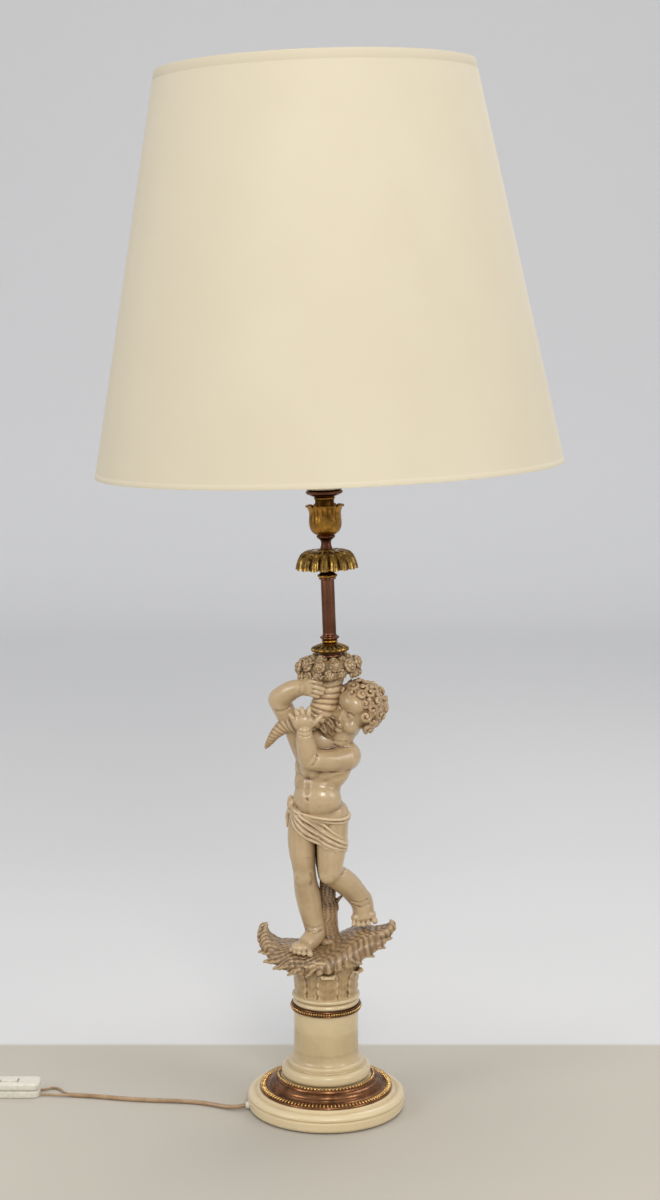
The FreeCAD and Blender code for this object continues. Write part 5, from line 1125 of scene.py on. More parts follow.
class LAMP_OT_figure(bpy.types.Operator):
    """Carve the child's body, legs and arms as one skin, with its folds and its small hands and feet"""
    bl_idname = "lamp.figure"
    bl_label = "Carved figure"

    def execute(self, context):
        voxel = context.scene.lamp_detail.clay_voxel
        body = clay("carved_figure", self.torso() + self.legs() + self.arms(), self.hands_and_feet(),
                    1.3, voxel * 0.8, (7, 3))
        self.model(body)
        thinned(body, MOST_TRIANGLES)
        smooth(body, 80)
        finish_piece(mark_recess(body, 16, 0.5), "carved_skin", "skin", "torso",
                     "standing_leg", "bent_leg", "reaching_arm", "folded_arm")
        return {"FINISHED"}

    def torso(self):
        return [
            lump((-6.5, 2, 301), (28.0, 19.5, 18), (0, 0, -14)),
            lump((-8.5, -4, 317), (23.8, 17.5, 19), (0, 0, -18)),
            lump((-8, 2, 331), (23.2, 17.5, 24), (0, -4, -18)),
            lump((-3, 2, 347), (28.0, 18.0, 24), (0, -8, -16)),
            lump((4, 4, 362), (24.0, 13.5, 14), (0, -10, -10)),
            lump((-14, -9, 349), (11.0, 8.0, 11), (0, 0, -20)),
            lump((10, -9, 350), (12.0, 8.5, 11)),
            lump((-3, 1, 371), (18.0, 11.5, 16.0), (0, 14, 0)),
            roll([(8, 4, 362, 13), (13, 2, 374, 12.0), (19, 0, 386, 12.0)]),
            lump((-20, 10, 293), (14.0, 12.5, 15)), lump((7, 11, 292), (14.5, 12.5, 15)),
            roll([(-18, 6, 360, 13), (-25, 7, 372, 11.5), (-29, 6, 380, 10)])]

    def legs(self):
        return [
            roll([(-20, 1, 300, 15.5), (-24.5, 0, 285, 13.4), (-24.2, -2, 266, 12.8), (-22.2, -3, 251, 11.2),
                  (-21.0, -4, 240, 10.6), (-20.0, -1, 229, 11.6), (-17.8, 1, 218, 12.4),
                  (-15.6, 0, 206, 11.7), (-12.6, -1, 193, 10.4), (-10.0, -2, 181, 9.4)]),
            lump((-21.4, -9.6, 241), (9.4, 5.0, 12.0)),
            roll([(-9.8, -1, 182, 9.6), (-11, -6, 176.5, 9.6), (-19, -17, 173, 8.6)]),
            lump((-6.5, 3.0, 174.5), (8.6, 9.5, 7.4)),
            lump((-23.5, -23.5, 171.0), (11.6, 8.4, 5.6), (0, 10, 30)),
            roll([(6, 2, 300, 16.5), (6.2, -2, 285, 15.2), (5.8, -7, 270, 14.4), (4.8, -11, 257, 12.8),
                  (3.8, -13, 246, 11.3)]),
            lump((2.2, -16.5, 243.5), (8.6, 7.6, 9.4)),
            roll([(4, -10, 243.5, 10.8), (13, -5, 236.5, 12.0), (21.5, 0, 229, 12.0), (29, 5, 219, 11.0),
                  (34.5, 8, 210.5, 10.7)]),
            roll([(35, 9, 211, 10.6), (37, 8, 203, 10.8), (37.6, 5, 196, 9.4)]),
            lump((38.5, 15, 203), (8.6, 8.4, 9.4)),
            lump((37.2, 3.0, 195.5), (12.6, 7.0, 5.4), (12, -12, 0))]

    def arms(self):
        return [
            lump((19.5, -1, 359), (14.5, 13.5, 14.5)),
            roll([(20, -4, 358, 12.6), (10, -12, 357, 10.6), (-2, -18, 357.5, 10.0),
                  (-14, -21, 359.5, 9.8)]),
            lump((-17, -20, 361), (10.0, 9.2, 9.6)),
            roll([(-16.6, -20.5, 362, 9.6), (-18.4, -22, 370, 9.4), (-20.2, -23.5, 379, 8.4),
                  (-20.8, -24, 387.5, 7.3)]),
            lump((-21.6, -23.2, 397.5), (10.4, 5.2, 8.6), (-6, 6, 0)),
            roll([(-27, 7, 376, 9.6), (-34, 5, 391, 9.6), (-41, 2, 404, 9.8), (-45, -1, 414, 10.4)]),
            lump((-45.2, -1, 415.5), (10.6, 9.8, 11.6), (0, 20, 0)),
            roll([(-44, -2, 417.5, 10.2), (-36, -6.5, 424.5, 9.8), (-28, -11, 428.6, 8.2),
                  (-23, -13, 429.6, 7.4)]),
            lump((-17.4, -15.6, 430.0), (8.0, 4.8, 8.4), (0, 8, -14))]

    def hands_and_feet(self):
        pieces = [finger(*row) for row in (
            ((-17.0, -24.0, 401), (-16.6, -24.6, 406.5), (-16.2, -22.6, 410.6), 2.75),
            ((-21.6, -24.2, 402), (-22.6, -25.0, 407.0), (-23.4, -22.8, 410.6), 2.75),
            ((-26.2, -24.0, 401.4), (-27.6, -24.6, 405.8), (-28.8, -22.4, 408.8), 2.65),
            ((-29.6, -23.2, 398.6), (-32.6, -23.6, 402.0), (-35.0, -21.4, 404.6), 2.4),
            ((-14.0, -23.6, 394.5), (-9.0, -24.0, 398.6), (-4.6, -22.0, 403.0), 3.0),
            ((-15.0, -18.2, 436.2), (-9.4, -19.0, 436.4), (-4.8, -17.6, 434.6), 2.7),
            ((-13.6, -18.6, 431.8), (-7.4, -20.0, 430.6), (-2.2, -18.6, 428.6), 2.75),
            ((-14.2, -18.2, 427.6), (-8.6, -19.6, 426.2), (-3.8, -18.4, 424.6), 2.6),
            ((-16.2, -17.2, 424.0), (-11.6, -18.4, 422.4), (-7.6, -17.4, 421.2), 2.4),
            ((-20.4, -14.6, 435.6), (-17.8, -13.6, 439.8), (-14.6, -11.6, 442.0), 2.7))]
        for root, tip, radius in (((-17.0, -28.4, 169.4), (-15.6, -32.6, 167.2), 3.3),
                                  ((-21.6, -29.2, 170.2), (-21.6, -33.4, 168.0), 2.5),
                                  ((-25.6, -28.8, 170.8), (-26.4, -32.6, 168.6), 2.4),
                                  ((-29.0, -27.2, 171.0), (-30.6, -30.8, 169.2), 2.3),
                                  ((-31.8, -24.6, 171.4), (-34.2, -27.8, 170.2), 2.2),
                                  ((46.6, 1.6, 194.6), (48.6, -1.8, 191.6), 3.3),
                                  ((41.6, 0.0, 193.0), (42.4, -3.4, 189.0), 2.5),
                                  ((37.0, -0.8, 192.2), (37.2, -4.2, 188.0), 2.45),
                                  ((32.4, -0.6, 191.8), (32.0, -4.0, 187.8), 2.35),
                                  ((28.2, 0.2, 192.0), (27.2, -3.0, 188.2), 2.2)):
            pieces.append(roll([(*root, radius), (*tip, radius * 0.95)], sides=3))
        return pieces

    def model(self, body):
        """Press the navel, the furrows, the creases of the joints and the hollows between the knuckles."""
        press_seen(
            body,
            (1.5, 1.8, (-18.6, 319.4)),
            (2.6, 0.8, (-18.0, 343), (-18.2, 334), (-18.5, 326)),
            (2.4, 0.4, (-18.5, 313), (-17.5, 305)),
            (2.6, 0.7, (-26, 334), (-18, 338.5), (-6, 336), (8, 340), (20, 345)),
            (1.2, 0.7, (4, 346.5), (14, 346), (24, 347.5)),
            (2.2, 0.5, (-29, 309), (-19, 301), (-6, 297)),
            (1.1, 0.7, (8, 372), (15, 370), (22, 370)),
            (1.0, 0.6, (6, 377), (13, 375.5), (21, 375)),
            (2.2, 0.8, (-14.5, 232.5), (-13.0, 237), (-14.0, 242.5)),
            (2.4, 0.5, (-29.5, 233), (-29.0, 239)),
            (0.8, 0.4, (-18.5, 259.0), (-14.5, 258.4)),
            (0.9, 0.8, (-18, 184.6), (-11, 183.4), (-4, 184.8)),
            (1.2, 0.4, (-19, 189.4), (-11, 188.0), (-4, 189.4)),
            (0.9, 0.9, (24.5, 213.5), (32, 211.2), (41, 213.6)),
            (0.9, 0.7, (25.5, 208.6), (33, 206.4), (43, 208.6)),
            (1.2, 0.9, (19.0, 246.5), (16.0, 243.5)),
            (0.8, 0.8, (-26, 389.6), (-20.6, 388.6), (-15, 389.8)),
            (0.7, 0.5, (-25.2, 385.4), (-20.2, 384.4), (-15.4, 385.4)),
            (1.3, 0.9, (-8.2, 366.0), (-9.4, 361.0), (-13.0, 356.0)),
            (1.4, 0.4, (-25.6, 434.0), (-25.0, 429.6), (-26.0, 425.0)),
            (1.3, 0.8, (-48, 405.0), (-41, 406.0), (-34.6, 409.6)),
            *((1.0, 0.5, spot) for spot in ((-17.0, 402.6), (-21.8, 403.6), (-26.4, 402.8), (-30.0, 400.0))),
            *((0.9, 0.35, spot) for spot in ((-12.6, 434.0), (-11.8, 429.2), (-12.6, 425.4))))


# --- head and curls --------------------------------------------------------------------------------
HEAD_PLACE = Vector((28.5, -2.0, 404.0))
HEAD_TURN = (0.0, 26.0, -38.0)
LOCKS_ALL_ROUND = 92


def set_on_neck(item):
    """Tilt and turn a form made facing -Y about the origin, and put it where the head is."""
    tilt = Matrix.Rotation(math.radians(HEAD_TURN[1]), 4, "Y")
    yaw = Matrix.Rotation(math.radians(HEAD_TURN[2]), 4, "Z")
    item.matrix_world = Matrix.Translation(HEAD_PLACE * MM) @ yaw @ tilt
    return freeze(item)


class LAMP_OT_head(bpy.types.Operator):
    """Carve a calm child's head on plain drawing-book proportions"""
    bl_idname = "lamp.head"
    bl_label = "Head"

    def execute(self, context):
        pair = (-1, 1)
        rough = [lump((0, 3, 5), (20.4, 22.5, 20)), lump((0, -6, -4), (16.8, 15.5, 18.6)),
                 lump((0, -11, 12), (15.4, 11, 11)), lump((0, -5, -13), (13.6, 13, 9.6)),
                 lump((0, -15.4, -17.6), (6.0, 5.4, 4.8)), roll([(0, 1, -14, 12), (-2, 3, -24, 11.6)])]
        rough += [lump((side * 9.0, -12.4, -8.6), (8.8, 8.4, 8.6)) for side in pair]
        head = kneaded("child_head", rough, 1.0, 6)
        for side in pair:
            press_seen(head, (3.8, 1.9, (side * 7.6, 0.8)), (2.2, 0.6, (side * 4.6, 3.4)))
        fine = [head, roll([(0, -18.4, 3.6, 1.7), (0, -19.4, -1.6, 1.7), (0, -20.4, -5.8, 2.1)]),
                roll([(-5.0, -19.2, -12.1, 0.6), (-2.0, -20.9, -11.3, 1.1), (0, -20.9, -11.7, 1.0),
                      (2.0, -20.9, -11.3, 1.1), (5.0, -19.2, -12.1, 0.6)], sides=3),
                roll([(-4.0, -19.4, -12.9, 0.7), (0, -20.4, -14.0, 1.5), (4.0, -19.4, -12.9, 0.7)], sides=3)]
        for side in pair:
            fine += [lump((side * 2.2, -19.0, -6.6), (1.7, 1.7, 1.3)),
                     lump((side * 7.6, -14.4, 0.8), (4.0, 3.9, 3.7)),
                     roll([(side * 3.9, -16.8, 0.2, 0.7), (side * 5.6, -18.2, 2.5, 0.9),
                           (side * 8.2, -18.0, 3.1, 0.95), (side * 11.4, -15.6, 0.8, 0.7)], sides=3),
                     roll([(side * 3.9, -16.8, 0.1, 0.6), (side * 6.4, -17.9, -2.0, 0.7),
                           (side * 9.0, -17.2, -1.8, 0.7), (side * 11.4, -15.6, 0.6, 0.6)], sides=3),
                     roll([(side * 18.4, -2.4, 3, 1.3), (side * 20.6, 1.4, 4.8, 1.4),
                           (side * 20.8, 3.6, 0.4, 1.3), (side * 19.6, 1.6, -4.2, 1.5),
                           (side * 18.0, -1.6, -5.8, 1.4)], sides=3),
                     lump((side * 18.0, 0.2, -0.6), (1.8, 3.2, 4.6))]
        head = kneaded("child_head", fine, 0.5, 2)
        press_seen(
            head,
            (0.55, 0.7, (-5.2, -12.2), (-2.4, -12.4), (0, -12.7), (2.4, -12.4), (5.2, -12.2)),
            (0.8, 0.4, (0, -8.6), (0, -10.4)),
            (1.1, 0.5, (-2.6, -15.8), (0, -16.2), (2.6, -15.8)))
        for side in pair:
            press_seen(
                head,
                (0.55, 0.3, (side * 4.6, 0.4), (side * 7.4, 0.9), (side * 10.6, 0.6)),
                (1.5, -0.45, (side * 3.6, 6.2), (side * 8.2, 7.6), (side * 12.6, 5.6)),
                (0.8, 0.5, (side * 6.2, -12.2)),
                (0.7, 0.4, (side * 3.9, -5.6), (side * 4.2, -7.2)))
        set_on_neck(head)
        smooth(head, 80)
        finish_piece(mark_recess(head, 14, 0.45), "carved_skin", "skin", "head")
        return {"FINISHED"}


def curl(radius, strand, start, lift):
    """A lock wound up like a snail about the Z axis, its tip in the middle and raised."""
    spots = []
    for step in range(13):
        share = step / 12
        turn = start + share * 2.3 * math.pi
        reach = radius * (1 - 0.86 * share)
        spots.append((reach * math.cos(turn), reach * math.sin(turn), lift * share,
                      strand * (1.0 - 0.35 * share)))
    return roll(spots, sides=2)


class LAMP_OT_hair(bpy.types.Operator):
    """Wind the curls of the child's hair, each its own lock, over the crown and the nape"""
    bl_idname = "lamp.hair"
    bl_label = "Curls"

    def execute(self, context):
        scatter = np.random.default_rng(11)
        locks = [lump((0, 5.0, 7.4), (22.4, 23.0, 20.6)), lump((0, 12, -6), (18.5, 14, 13.5))]
        golden = math.pi * (3 - math.sqrt(5))
        for index in range(LOCKS_ALL_ROUND):
            level = 1 - 2 * (index + 0.5) / LOCKS_ALL_ROUND
            ring = math.sqrt(1 - level * level)
            way = Vector((ring * math.cos(golden * index), ring * math.sin(golden * index), level))
            facing = way.angle(Vector((0, -1, -0.42)))
            if facing < math.radians(60) or level < -0.7:
                continue
            out = 1.0 + 2.4 * scatter.random()
            place = Vector((way.x * (21.4 + out), 4.0 + way.y * (22.6 + out), 5.4 + way.z * (21.2 + out)))
            size = 5.0 + 1.2 * scatter.random()
            lock = curl(size, 2.35, scatter.random() * FULL_TURN, 2.2 + 2.2 * scatter.random())
            wobble = Vector(scatter.normal(0, 0.2, 3))
            turn = (way + wobble).normalized().to_track_quat("Z", "Y").to_matrix().to_4x4()
            flip = Matrix.Scale(-1 if index % 3 == 0 else 1, 4, (1, 0, 0))
            lock.matrix_world = Matrix.Translation(place * MM) @ turn @ flip
            locks.append(lock)
        hair = kneaded("child_curls", locks, 0.5, 1)
        outward_faces(hair)
        set_on_neck(hair)
        thinned(hair, MOST_TRIANGLES)
        smooth(hair, 80)
        finish_piece(mark_recess(hair, 7, 0.5), "carved_dark", "hair", "hair")
        return {"FINISHED"}


# --- horn of plenty and flowers --------------------------------------------------------------------
HORN_LINE = ((4.6, 0, 447, 14.2), (4.0, 0, 440, 13.4), (3.0, -1, 430, 13.2), (0.6, -2, 418, 12.8),
             (-3.4, -4, 407, 12.4), (-10.0, -5, 399, 11.6), (-19.0, -5, 394.5, 10.6),
             (-29.0, -3, 392.5, 9.4), (-38.0, 0, 390, 8.0), (-45.0, 2, 385, 6.7), (-50.5, 4, 379, 5.2),
             (-54.6, 6, 372.6, 3.9), (-58.0, 7, 367.6, 2.5), (-59.6, 8, 365.0, 1.4))


def along_spine(spine, rows):
    """Even samples of a spine of (x, y, z, size) in mm: how far along, where, what size, which way."""
    line = flowing([spot[:3] for spot in spine], 0.5)
    steps = np.concatenate([[0], np.cumsum(np.linalg.norm(np.diff(line, axis=0), axis=1))])
    marks = [steps[np.argmin(np.linalg.norm(line - np.array(spot[:3]), axis=1))] for spot in spine]
    places = np.linspace(0, steps[-1], rows)
    middle = np.stack([np.interp(places, steps, line[:, axis]) for axis in range(3)], axis=1)
    size = np.interp(places, marks, [spot[3] for spot in spine])
    return places, middle, size, unit_rows(np.gradient(middle, axis=0))


def unit_rows(ways):
    return ways / np.linalg.norm(ways, axis=1)[:, None]


def swept_skin(middle, side, across, rise, upward):
    """Points round a spine: each row's middle, with so much to its side and so much up."""
    return (middle[:, None, :] + side[:, None, :] * across[:, :, None]
            + rise[:, None, :] * upward[:, :, None])


def ridges(phase):
    """A row of soft crests, from -1 to 1, two to each turn of the phase."""
    return 1 - 2 * np.abs(np.sin(phase)) ** 0.7


class LAMP_OT_horn(bpy.types.Operator):
    """Sweep the horn of plenty from its mouth under the flowers to its curled tip, ribbed like a shell"""
    bl_idname = "lamp.horn"
    bl_label = "Horn of plenty"

    def execute(self, context):
        rows, around = 230, 96
        places, middle, radius, ahead = along_spine(HORN_LINE, rows)
        side = unit_rows(np.cross(ahead, (0.0, 1.0, 0.0)))
        turn = np.arange(around) * FULL_TURN / around
        pitch = np.interp(places, (0, places[-1] * 0.55, places[-1]), (6.6, 5.2, 3.6))
        wound = np.cumsum(np.gradient(places) / pitch)
        phase = wound[:, None] * math.pi + turn[None, :] * 1.5
        rim = np.exp(-((places - 2.2) / 1.6) ** 2) * 1.2 - np.exp(-((places - 5.6) / 1.4) ** 2) * 0.5
        quiet = np.clip((places - 3.5) / 6.0, 0, 1)
        reach = radius[:, None] * (1 - 0.05 * ridges(phase - math.pi / 4) * quiet[:, None]) + rim[:, None]
        skin = swept_skin(middle, side, reach * np.cos(turn), np.cross(side, ahead), reach * np.sin(turn))
        settle()
        bpy.ops.mesh.primitive_cylinder_add(vertices=around, radius=1.0, depth=1.0, end_fill_type="NGON")
        horn = named("horn_of_plenty_carved")
        bpy.ops.object.mode_set(mode="EDIT")
        shape = bmesh.from_edit_mesh(horn.data)
        walls = [edge for edge in shape.edges if abs(edge.verts[0].co.z - edge.verts[1].co.z) > 0.5]
        bmesh.ops.subdivide_edges(shape, edges=walls, cuts=rows - 2, use_grid_fill=True)
        bmesh.update_edit_mesh(horn.data)
        bpy.ops.object.mode_set(mode="OBJECT")
        found = vertex_array(horn)
        row = np.rint((0.5 - found[:, 2]) * (rows - 1)).astype(int).clip(0, rows - 1)
        column = np.rint(np.arctan2(found[:, 1], found[:, 0]) / FULL_TURN * around).astype(int) % around
        set_vertices(horn, skin[row, column] * MM)
        outward_faces(horn)
        smooth(horn, 70)
        finish_piece(mark_recess(horn, 5, 0.3), "carved_dark", "horn",
                     "horn_of_plenty")
        self.tuft()
        return {"FINISHED"}

    def tuft(self):
        """The tuft of leaves that fills the angle between the horn and the neck."""
        sprays = []
        for spine in (((-2, -13, 399, 2.4), (3, -15.5, 396, 3.2), (6.5, -15, 391, 2.2),
                       (7.4, -13, 387.5, 0.6)),
                      ((-6, -13, 394, 2.6), (-3.4, -16, 390.5, 3.2), (-1, -16, 386.5, 2.2),
                       (0.4, -14.5, 384, 0.6)),
                      ((-1, -11, 391, 3.0), (4, -12, 387, 3.4), (7, -10, 382.5, 2.2), (8, -8, 379.5, 0.6)),
                      ((2, -10, 402, 2.2), (7.6, -12, 400.5, 2.8), (11.6, -11, 397.5, 1.8),
                       (13, -9, 395.0, 0.5))):
            sprays.append(leaf(spine, (0.55, 0.1, 0.8), teeth=3, thick=1.3, along=20, across=9))
        sprays.append(lump((1.5, -7, 391), (8.5, 8, 8.5)))
        sprays.append(lump((2.4, -2.5, 384), (9.0, 8.5, 12)))
        tuft = kneaded("leaf_tuft", sprays, 0.55, 2)
        smooth(tuft, 80)
        finish_piece(mark_recess(tuft, 8, 0.5), "carved_dark", "leaves")


def leaf(spine, side, teeth=5, tooth=0.3, cup=0.22, veins=0.35, thick=1.4, along=48, across=17):
    """A carved leaf: spine of (x, y, z, half width) in mm, with toothed edges, a midrib and veins."""
    _, middle, wide, ahead = along_spine(spine, along)
    out = unit_rows(np.cross(np.array(side, dtype=float), ahead))
    share = np.linspace(0, 1, along)[:, None]
    u = np.linspace(-1, 1, across)[None, :]
    wave = teeth * (share - 0.16 * np.abs(u))
    bite = 1 - tooth * (1 - np.abs(np.sin(math.pi * wave)) ** 0.6) * u ** 2
    vein = veins * np.cos(2 * math.pi * wave) * np.clip(3 * np.abs(u), 0, 1)
    lift = -cup * wide[:, None] * u ** 2 - vein + 1.6 * veins * np.exp(-(u / 0.13) ** 2)
    skin = swept_skin(middle, np.cross(ahead, out), u * wide[:, None] * bite, out, lift)
    settle()
    bpy.ops.mesh.primitive_grid_add(x_subdivisions=across - 1, y_subdivisions=along - 1, size=2.0)
    item = named("leaf")
    found = vertex_array(item)
    row = np.rint((found[:, 1] + 1) / 2 * (along - 1)).astype(int)
    column = np.rint((found[:, 0] + 1) / 2 * (across - 1)).astype(int)
    set_vertices(item, skin[row, column] * MM)
    return modify(item, "SOLIDIFY", thickness=thick * MM, offset=0)


def rose(radius):
    """An open rose of three rings of petals about the Z axis, in mm."""
    pieces = [lump((0, 0, 0.2), (radius * 0.8, radius * 0.8, radius * 0.55), finer=2),
              lump((0, 0, radius * 0.62), (radius * 0.2, radius * 0.2, radius * 0.22), finer=2)]
    for count, reach, lift, size in ((6, 0.66, 0.12, 0.46), (5, 0.42, 0.42, 0.34), (4, 0.2, 0.62, 0.22)):
        for index in range(count):
            turn = FULL_TURN * (index + 0.5 * (count % 2)) / count
            pieces.append(lump((radius * reach * math.cos(turn), radius * reach * math.sin(turn),
                                radius * lift), (radius * size, radius * size * 0.62, radius * 0.3),
                               (0, 0, math.degrees(turn) + 90), finer=2))
    return kneaded("rose", pieces, 0.5, 1)


def planted(pattern, place):
    """A copy of a small form, put in its place by a matrix."""
    item = pattern.copy()
    item.data = pattern.data.copy()
    bpy.context.collection.objects.link(item)
    item.matrix_world = place
    return freeze(item)


class LAMP_OT_flowers(bpy.types.Operator):
    """Bind a thick wreath of open roses and leaves round the mouth of the horn"""
    bl_idname = "lamp.flowers"
    bl_label = "Wreath of flowers"

    def execute(self, context):
        scatter = np.random.default_rng(5)
        pattern = rose(7.4)
        blooms = []
        centre = on_stem(along=-9.0)
        mouth = Matrix.Translation(centre * MM) @ Matrix.Rotation(-STEM_LEAN, 4, "Y")
        rows = ((11, 26.0, 3.2, 66, 0.94), (9, 16.5, 5.4, 14, 0.86), (12, 24.6, -5.4, 104, 0.88))
        for count, reach, lift, tilt, size in rows:
            for index in range(count):
                turn = FULL_TURN * (index + scatter.random() * 0.3 + count * 0.31) / count
                way = Matrix.Rotation(turn, 4, "Z") @ Matrix.Rotation(math.radians(tilt), 4, "Y")
                spin = Matrix.Rotation(scatter.random() * FULL_TURN, 4, "Z")
                spot = Vector((reach * math.cos(turn), reach * math.sin(turn),
                               lift + scatter.normal(0, 0.7)))
                swell = Matrix.Scale(size * (0.92 + 0.16 * scatter.random()), 4)
                blooms.append(planted(pattern, mouth @ Matrix.Translation(spot * MM) @ way @ spin @ swell))
        facing = Matrix.Rotation(math.pi, 4, "Z") @ Matrix.Rotation(math.radians(78), 4, "Y")
        for spot in ((-29.5, -7, 1.5), (-30.0, 5, -4.5), (-27.5, -9, -9.5)):
            blooms.append(planted(pattern, mouth @ Matrix.Translation(Vector(spot) * MM) @ facing
                                  @ Matrix.Scale(0.84, 4)))
        for index in range(16):
            turn = FULL_TURN * (index + 0.4 * scatter.random()) / 16
            low = -7.0 if index % 2 else 5.6
            way = Vector((math.cos(turn), math.sin(turn), 0))
            foot, tip = way * 18 + Vector((0, 0, low * 0.7)), way * 30.5 + Vector((0, 0, low * 1.1))
            spine = [(*(centre + foot.lerp(tip, share)), wide)
                     for share, wide in ((0, 1.2), (0.4, 3.4), (0.75, 2.6), (1.0, 0.4))]
            blooms.append(leaf(spine, (-way.y, way.x, 0.1), teeth=3, thick=1.0, along=16, across=9))
        settle()
        bpy.ops.mesh.primitive_torus_add(major_segments=64, minor_segments=16, major_radius=18.5 * MM,
                                         minor_radius=7.6 * MM, location=centre * MM,
                                         rotation=(0, -STEM_LEAN, 0))
        blooms.append(freeze(bpy.context.active_object))
        grab(pattern)
        bpy.ops.object.delete()
        wreath = joined("rose_wreath", *blooms)
        modify(wreath, "REMESH", mode="VOXEL", voxel_size=0.5 * MM)
        thinned(wreath, MOST_TRIANGLES)
        smooth(wreath, 80)
        finish_piece(mark_recess(wreath, 7, 0.45), "carved_dark", "flowers",
                     "flower_wreath")
        return {"FINISHED"}


# --- drape, stump, leaf platform and capital -------------------------------------------------------
def laid_on(item, spots, lift):
    """The points of a line pulled onto a piece's skin and lifted off it, in mm."""
    found = []
    for spot in spots:
        _, place, normal, _ = item.closest_point_on_mesh(Vector(spot[:3]) * MM)
        found.append(tuple(place / MM + normal * lift))
    return found


def dropped(line, down):
    """The points of a line, moved so far along Z, in mm."""
    return [(x, y, z + down) for x, y, z in line]


def fold(body, line, size, lift, close=True):
    """A rolled fold of cloth along a line, laid on the body."""
    line = flowing(laid_on(body, line, lift), 3.0)
    return roll([(*spot, size) for spot in line], sides=3, close=close)


class LAMP_OT_drape(bpy.types.Operator):
    """Lay the waist cloth round the hips: a rolled band, a knot and a fan of folds down to the thigh"""
    bl_idname = "lamp.drape"
    bl_label = "Waist cloth"

    def execute(self, context):
        body = bpy.data.objects["carved_figure"]
        pieces = []
        ring = ((-35, 2, 309), (-30, -13, 305.5), (-20, -20, 302.4), (-6, -21, 300), (8, -19, 298.4),
                (18, -13, 298), (24, -2, 299), (22, 12, 301), (10, 24, 303), (-6, 26, 305), (-22, 24, 307.5),
                (-33, 14, 309), (-35, 2, 309))
        for drop, size, lift in ((0.0, 1.7, 0.9), (-3.4, 1.35, 0.5)):
            pieces.append(fold(body, dropped(ring, drop), size, lift, close=False))
        fan = (((-34, -4, 307), (-28, -15, 298.5), (-19, -19, 290.5), (-9, -20, 284), (3, -21, 278.5),
                (12, -20, 273.4), (18, -14, 270)),
               ((-34, -4, 306), (-29, -14, 294.5), (-21, -18, 286), (-11, -19, 279.6), (0, -20, 274.4),
                (9, -20, 270.2), (16, -15, 267.6)),
               ((-33.6, -5, 308), (-26, -17, 301.4), (-16, -20, 294), (-6, -21, 287.4), (5, -21, 282),
                (14, -18, 276.6), (19, -12, 273)),
               ((-34, -4, 304), (-30.5, -11, 291), (-24, -15, 283.4), (-16, -16, 278.4), (-8, -18, 274.6),
                (1, -19.5, 270.6), (10, -19, 267.4)),
               ((-33.6, -5, 308.6), (-24, -18, 303.4), (-13, -21, 297.6), (-2, -21, 291.6), (8, -20.5, 286),
                (16, -16, 280)))
        for line, size in zip(fan, (2.3, 2.0, 1.9, 1.5, 1.2)):
            spots = flowing(laid_on(body, line, 0.7), 3.0)
            widths = size * (0.75 + 0.45 * np.sin(np.linspace(0, 1, len(spots)) * math.pi))
            pieces.append(roll([(*spot, wide) for spot, wide in zip(spots, widths)], sides=3))
        back = ((18, -12, 270), (22, 0, 271), (20, 12, 275), (12, 22, 281), (0, 25, 288), (-14, 26, 295),
                (-26, 21, 301), (-34, 8, 307))
        for drop, size in ((0, 1.9), (3.6, 1.5), (-3.4, 1.5)):
            pieces.append(fold(body, dropped(back, drop), size, 0.6))
        pieces.append(self.cloth(body))
        pieces += [lump((-34.0, 1.5, 310.6), (4.6, 6.4, 6.4), (0, 14, 0)),
                   roll([(-33, -3, 307, 2.8), (-36.8, -1, 312, 3.2), (-34.6, 3, 316.4, 2.6)]),
                   roll([(-34, 6, 311, 2.6), (-37.2, 3, 307, 2.8), (-34.6, -2, 303.0, 2.4)]),
                   roll([(-34, 4, 307, 2.6), (-37.4, 8, 301, 2.8), (-38.0, 10, 293, 2.4),
                         (-38.6, 11, 285, 1.2)])]
        drape = kneaded("waist_cloth", pieces, 0.55, 5)
        for line in fan[:3]:
            deeper = laid_on(drape, [(x + 1.2, y, z + 2.2) for x, y, z in line[1:-1]], 0.0)
            pressed(drape, deeper, 0.7, 0.6)
        pressed(drape, laid_on(drape, dropped(ring[1:6], -1.9), 0.0), 0.6, 0.6)
        thinned(drape, 150000)
        smooth(drape, 80)
        finish_piece(mark_recess(drape, 10, 0.45), "carved_skin", "cloth", "drape")
        return {"FINISHED"}

    def cloth(self, body):
        """The plain cloth over the hip, between the band and the fan of folds."""
        settle()
        bpy.ops.mesh.primitive_grid_add(x_subdivisions=40, y_subdivisions=28, size=2.0)
        item = named("hip_cloth")
        found = vertex_array(item)
        upper = flowing([(-33, -8, 307), (-24, -18, 301), (-13, -21, 295), (-2, -21, 288.6), (8, -20.5, 283),
                         (17, -15, 277)], 0.5)
        lower = flowing([(-33, -8, 303), (-24, -16, 288), (-12, -19, 280), (0, -21, 274), (10, -20, 270.4),
                         (20, -10, 271)], 0.5)
        places = []
        for across, down, _ in found:
            share = (across + 1) / 2
            top = upper[int(share * (len(upper) - 1))]
            foot = lower[int(share * (len(lower) - 1))]
            spot = top + (foot - top) * (1 - down) / 2
            _, place, normal, _ = body.closest_point_on_mesh(Vector(spot) * MM)
            places.append(tuple(place + normal * 0.35 * MM))
        set_vertices(item, np.array(places))
        return modify(item, "SOLIDIFY", thickness=1.6 * MM, offset=0)


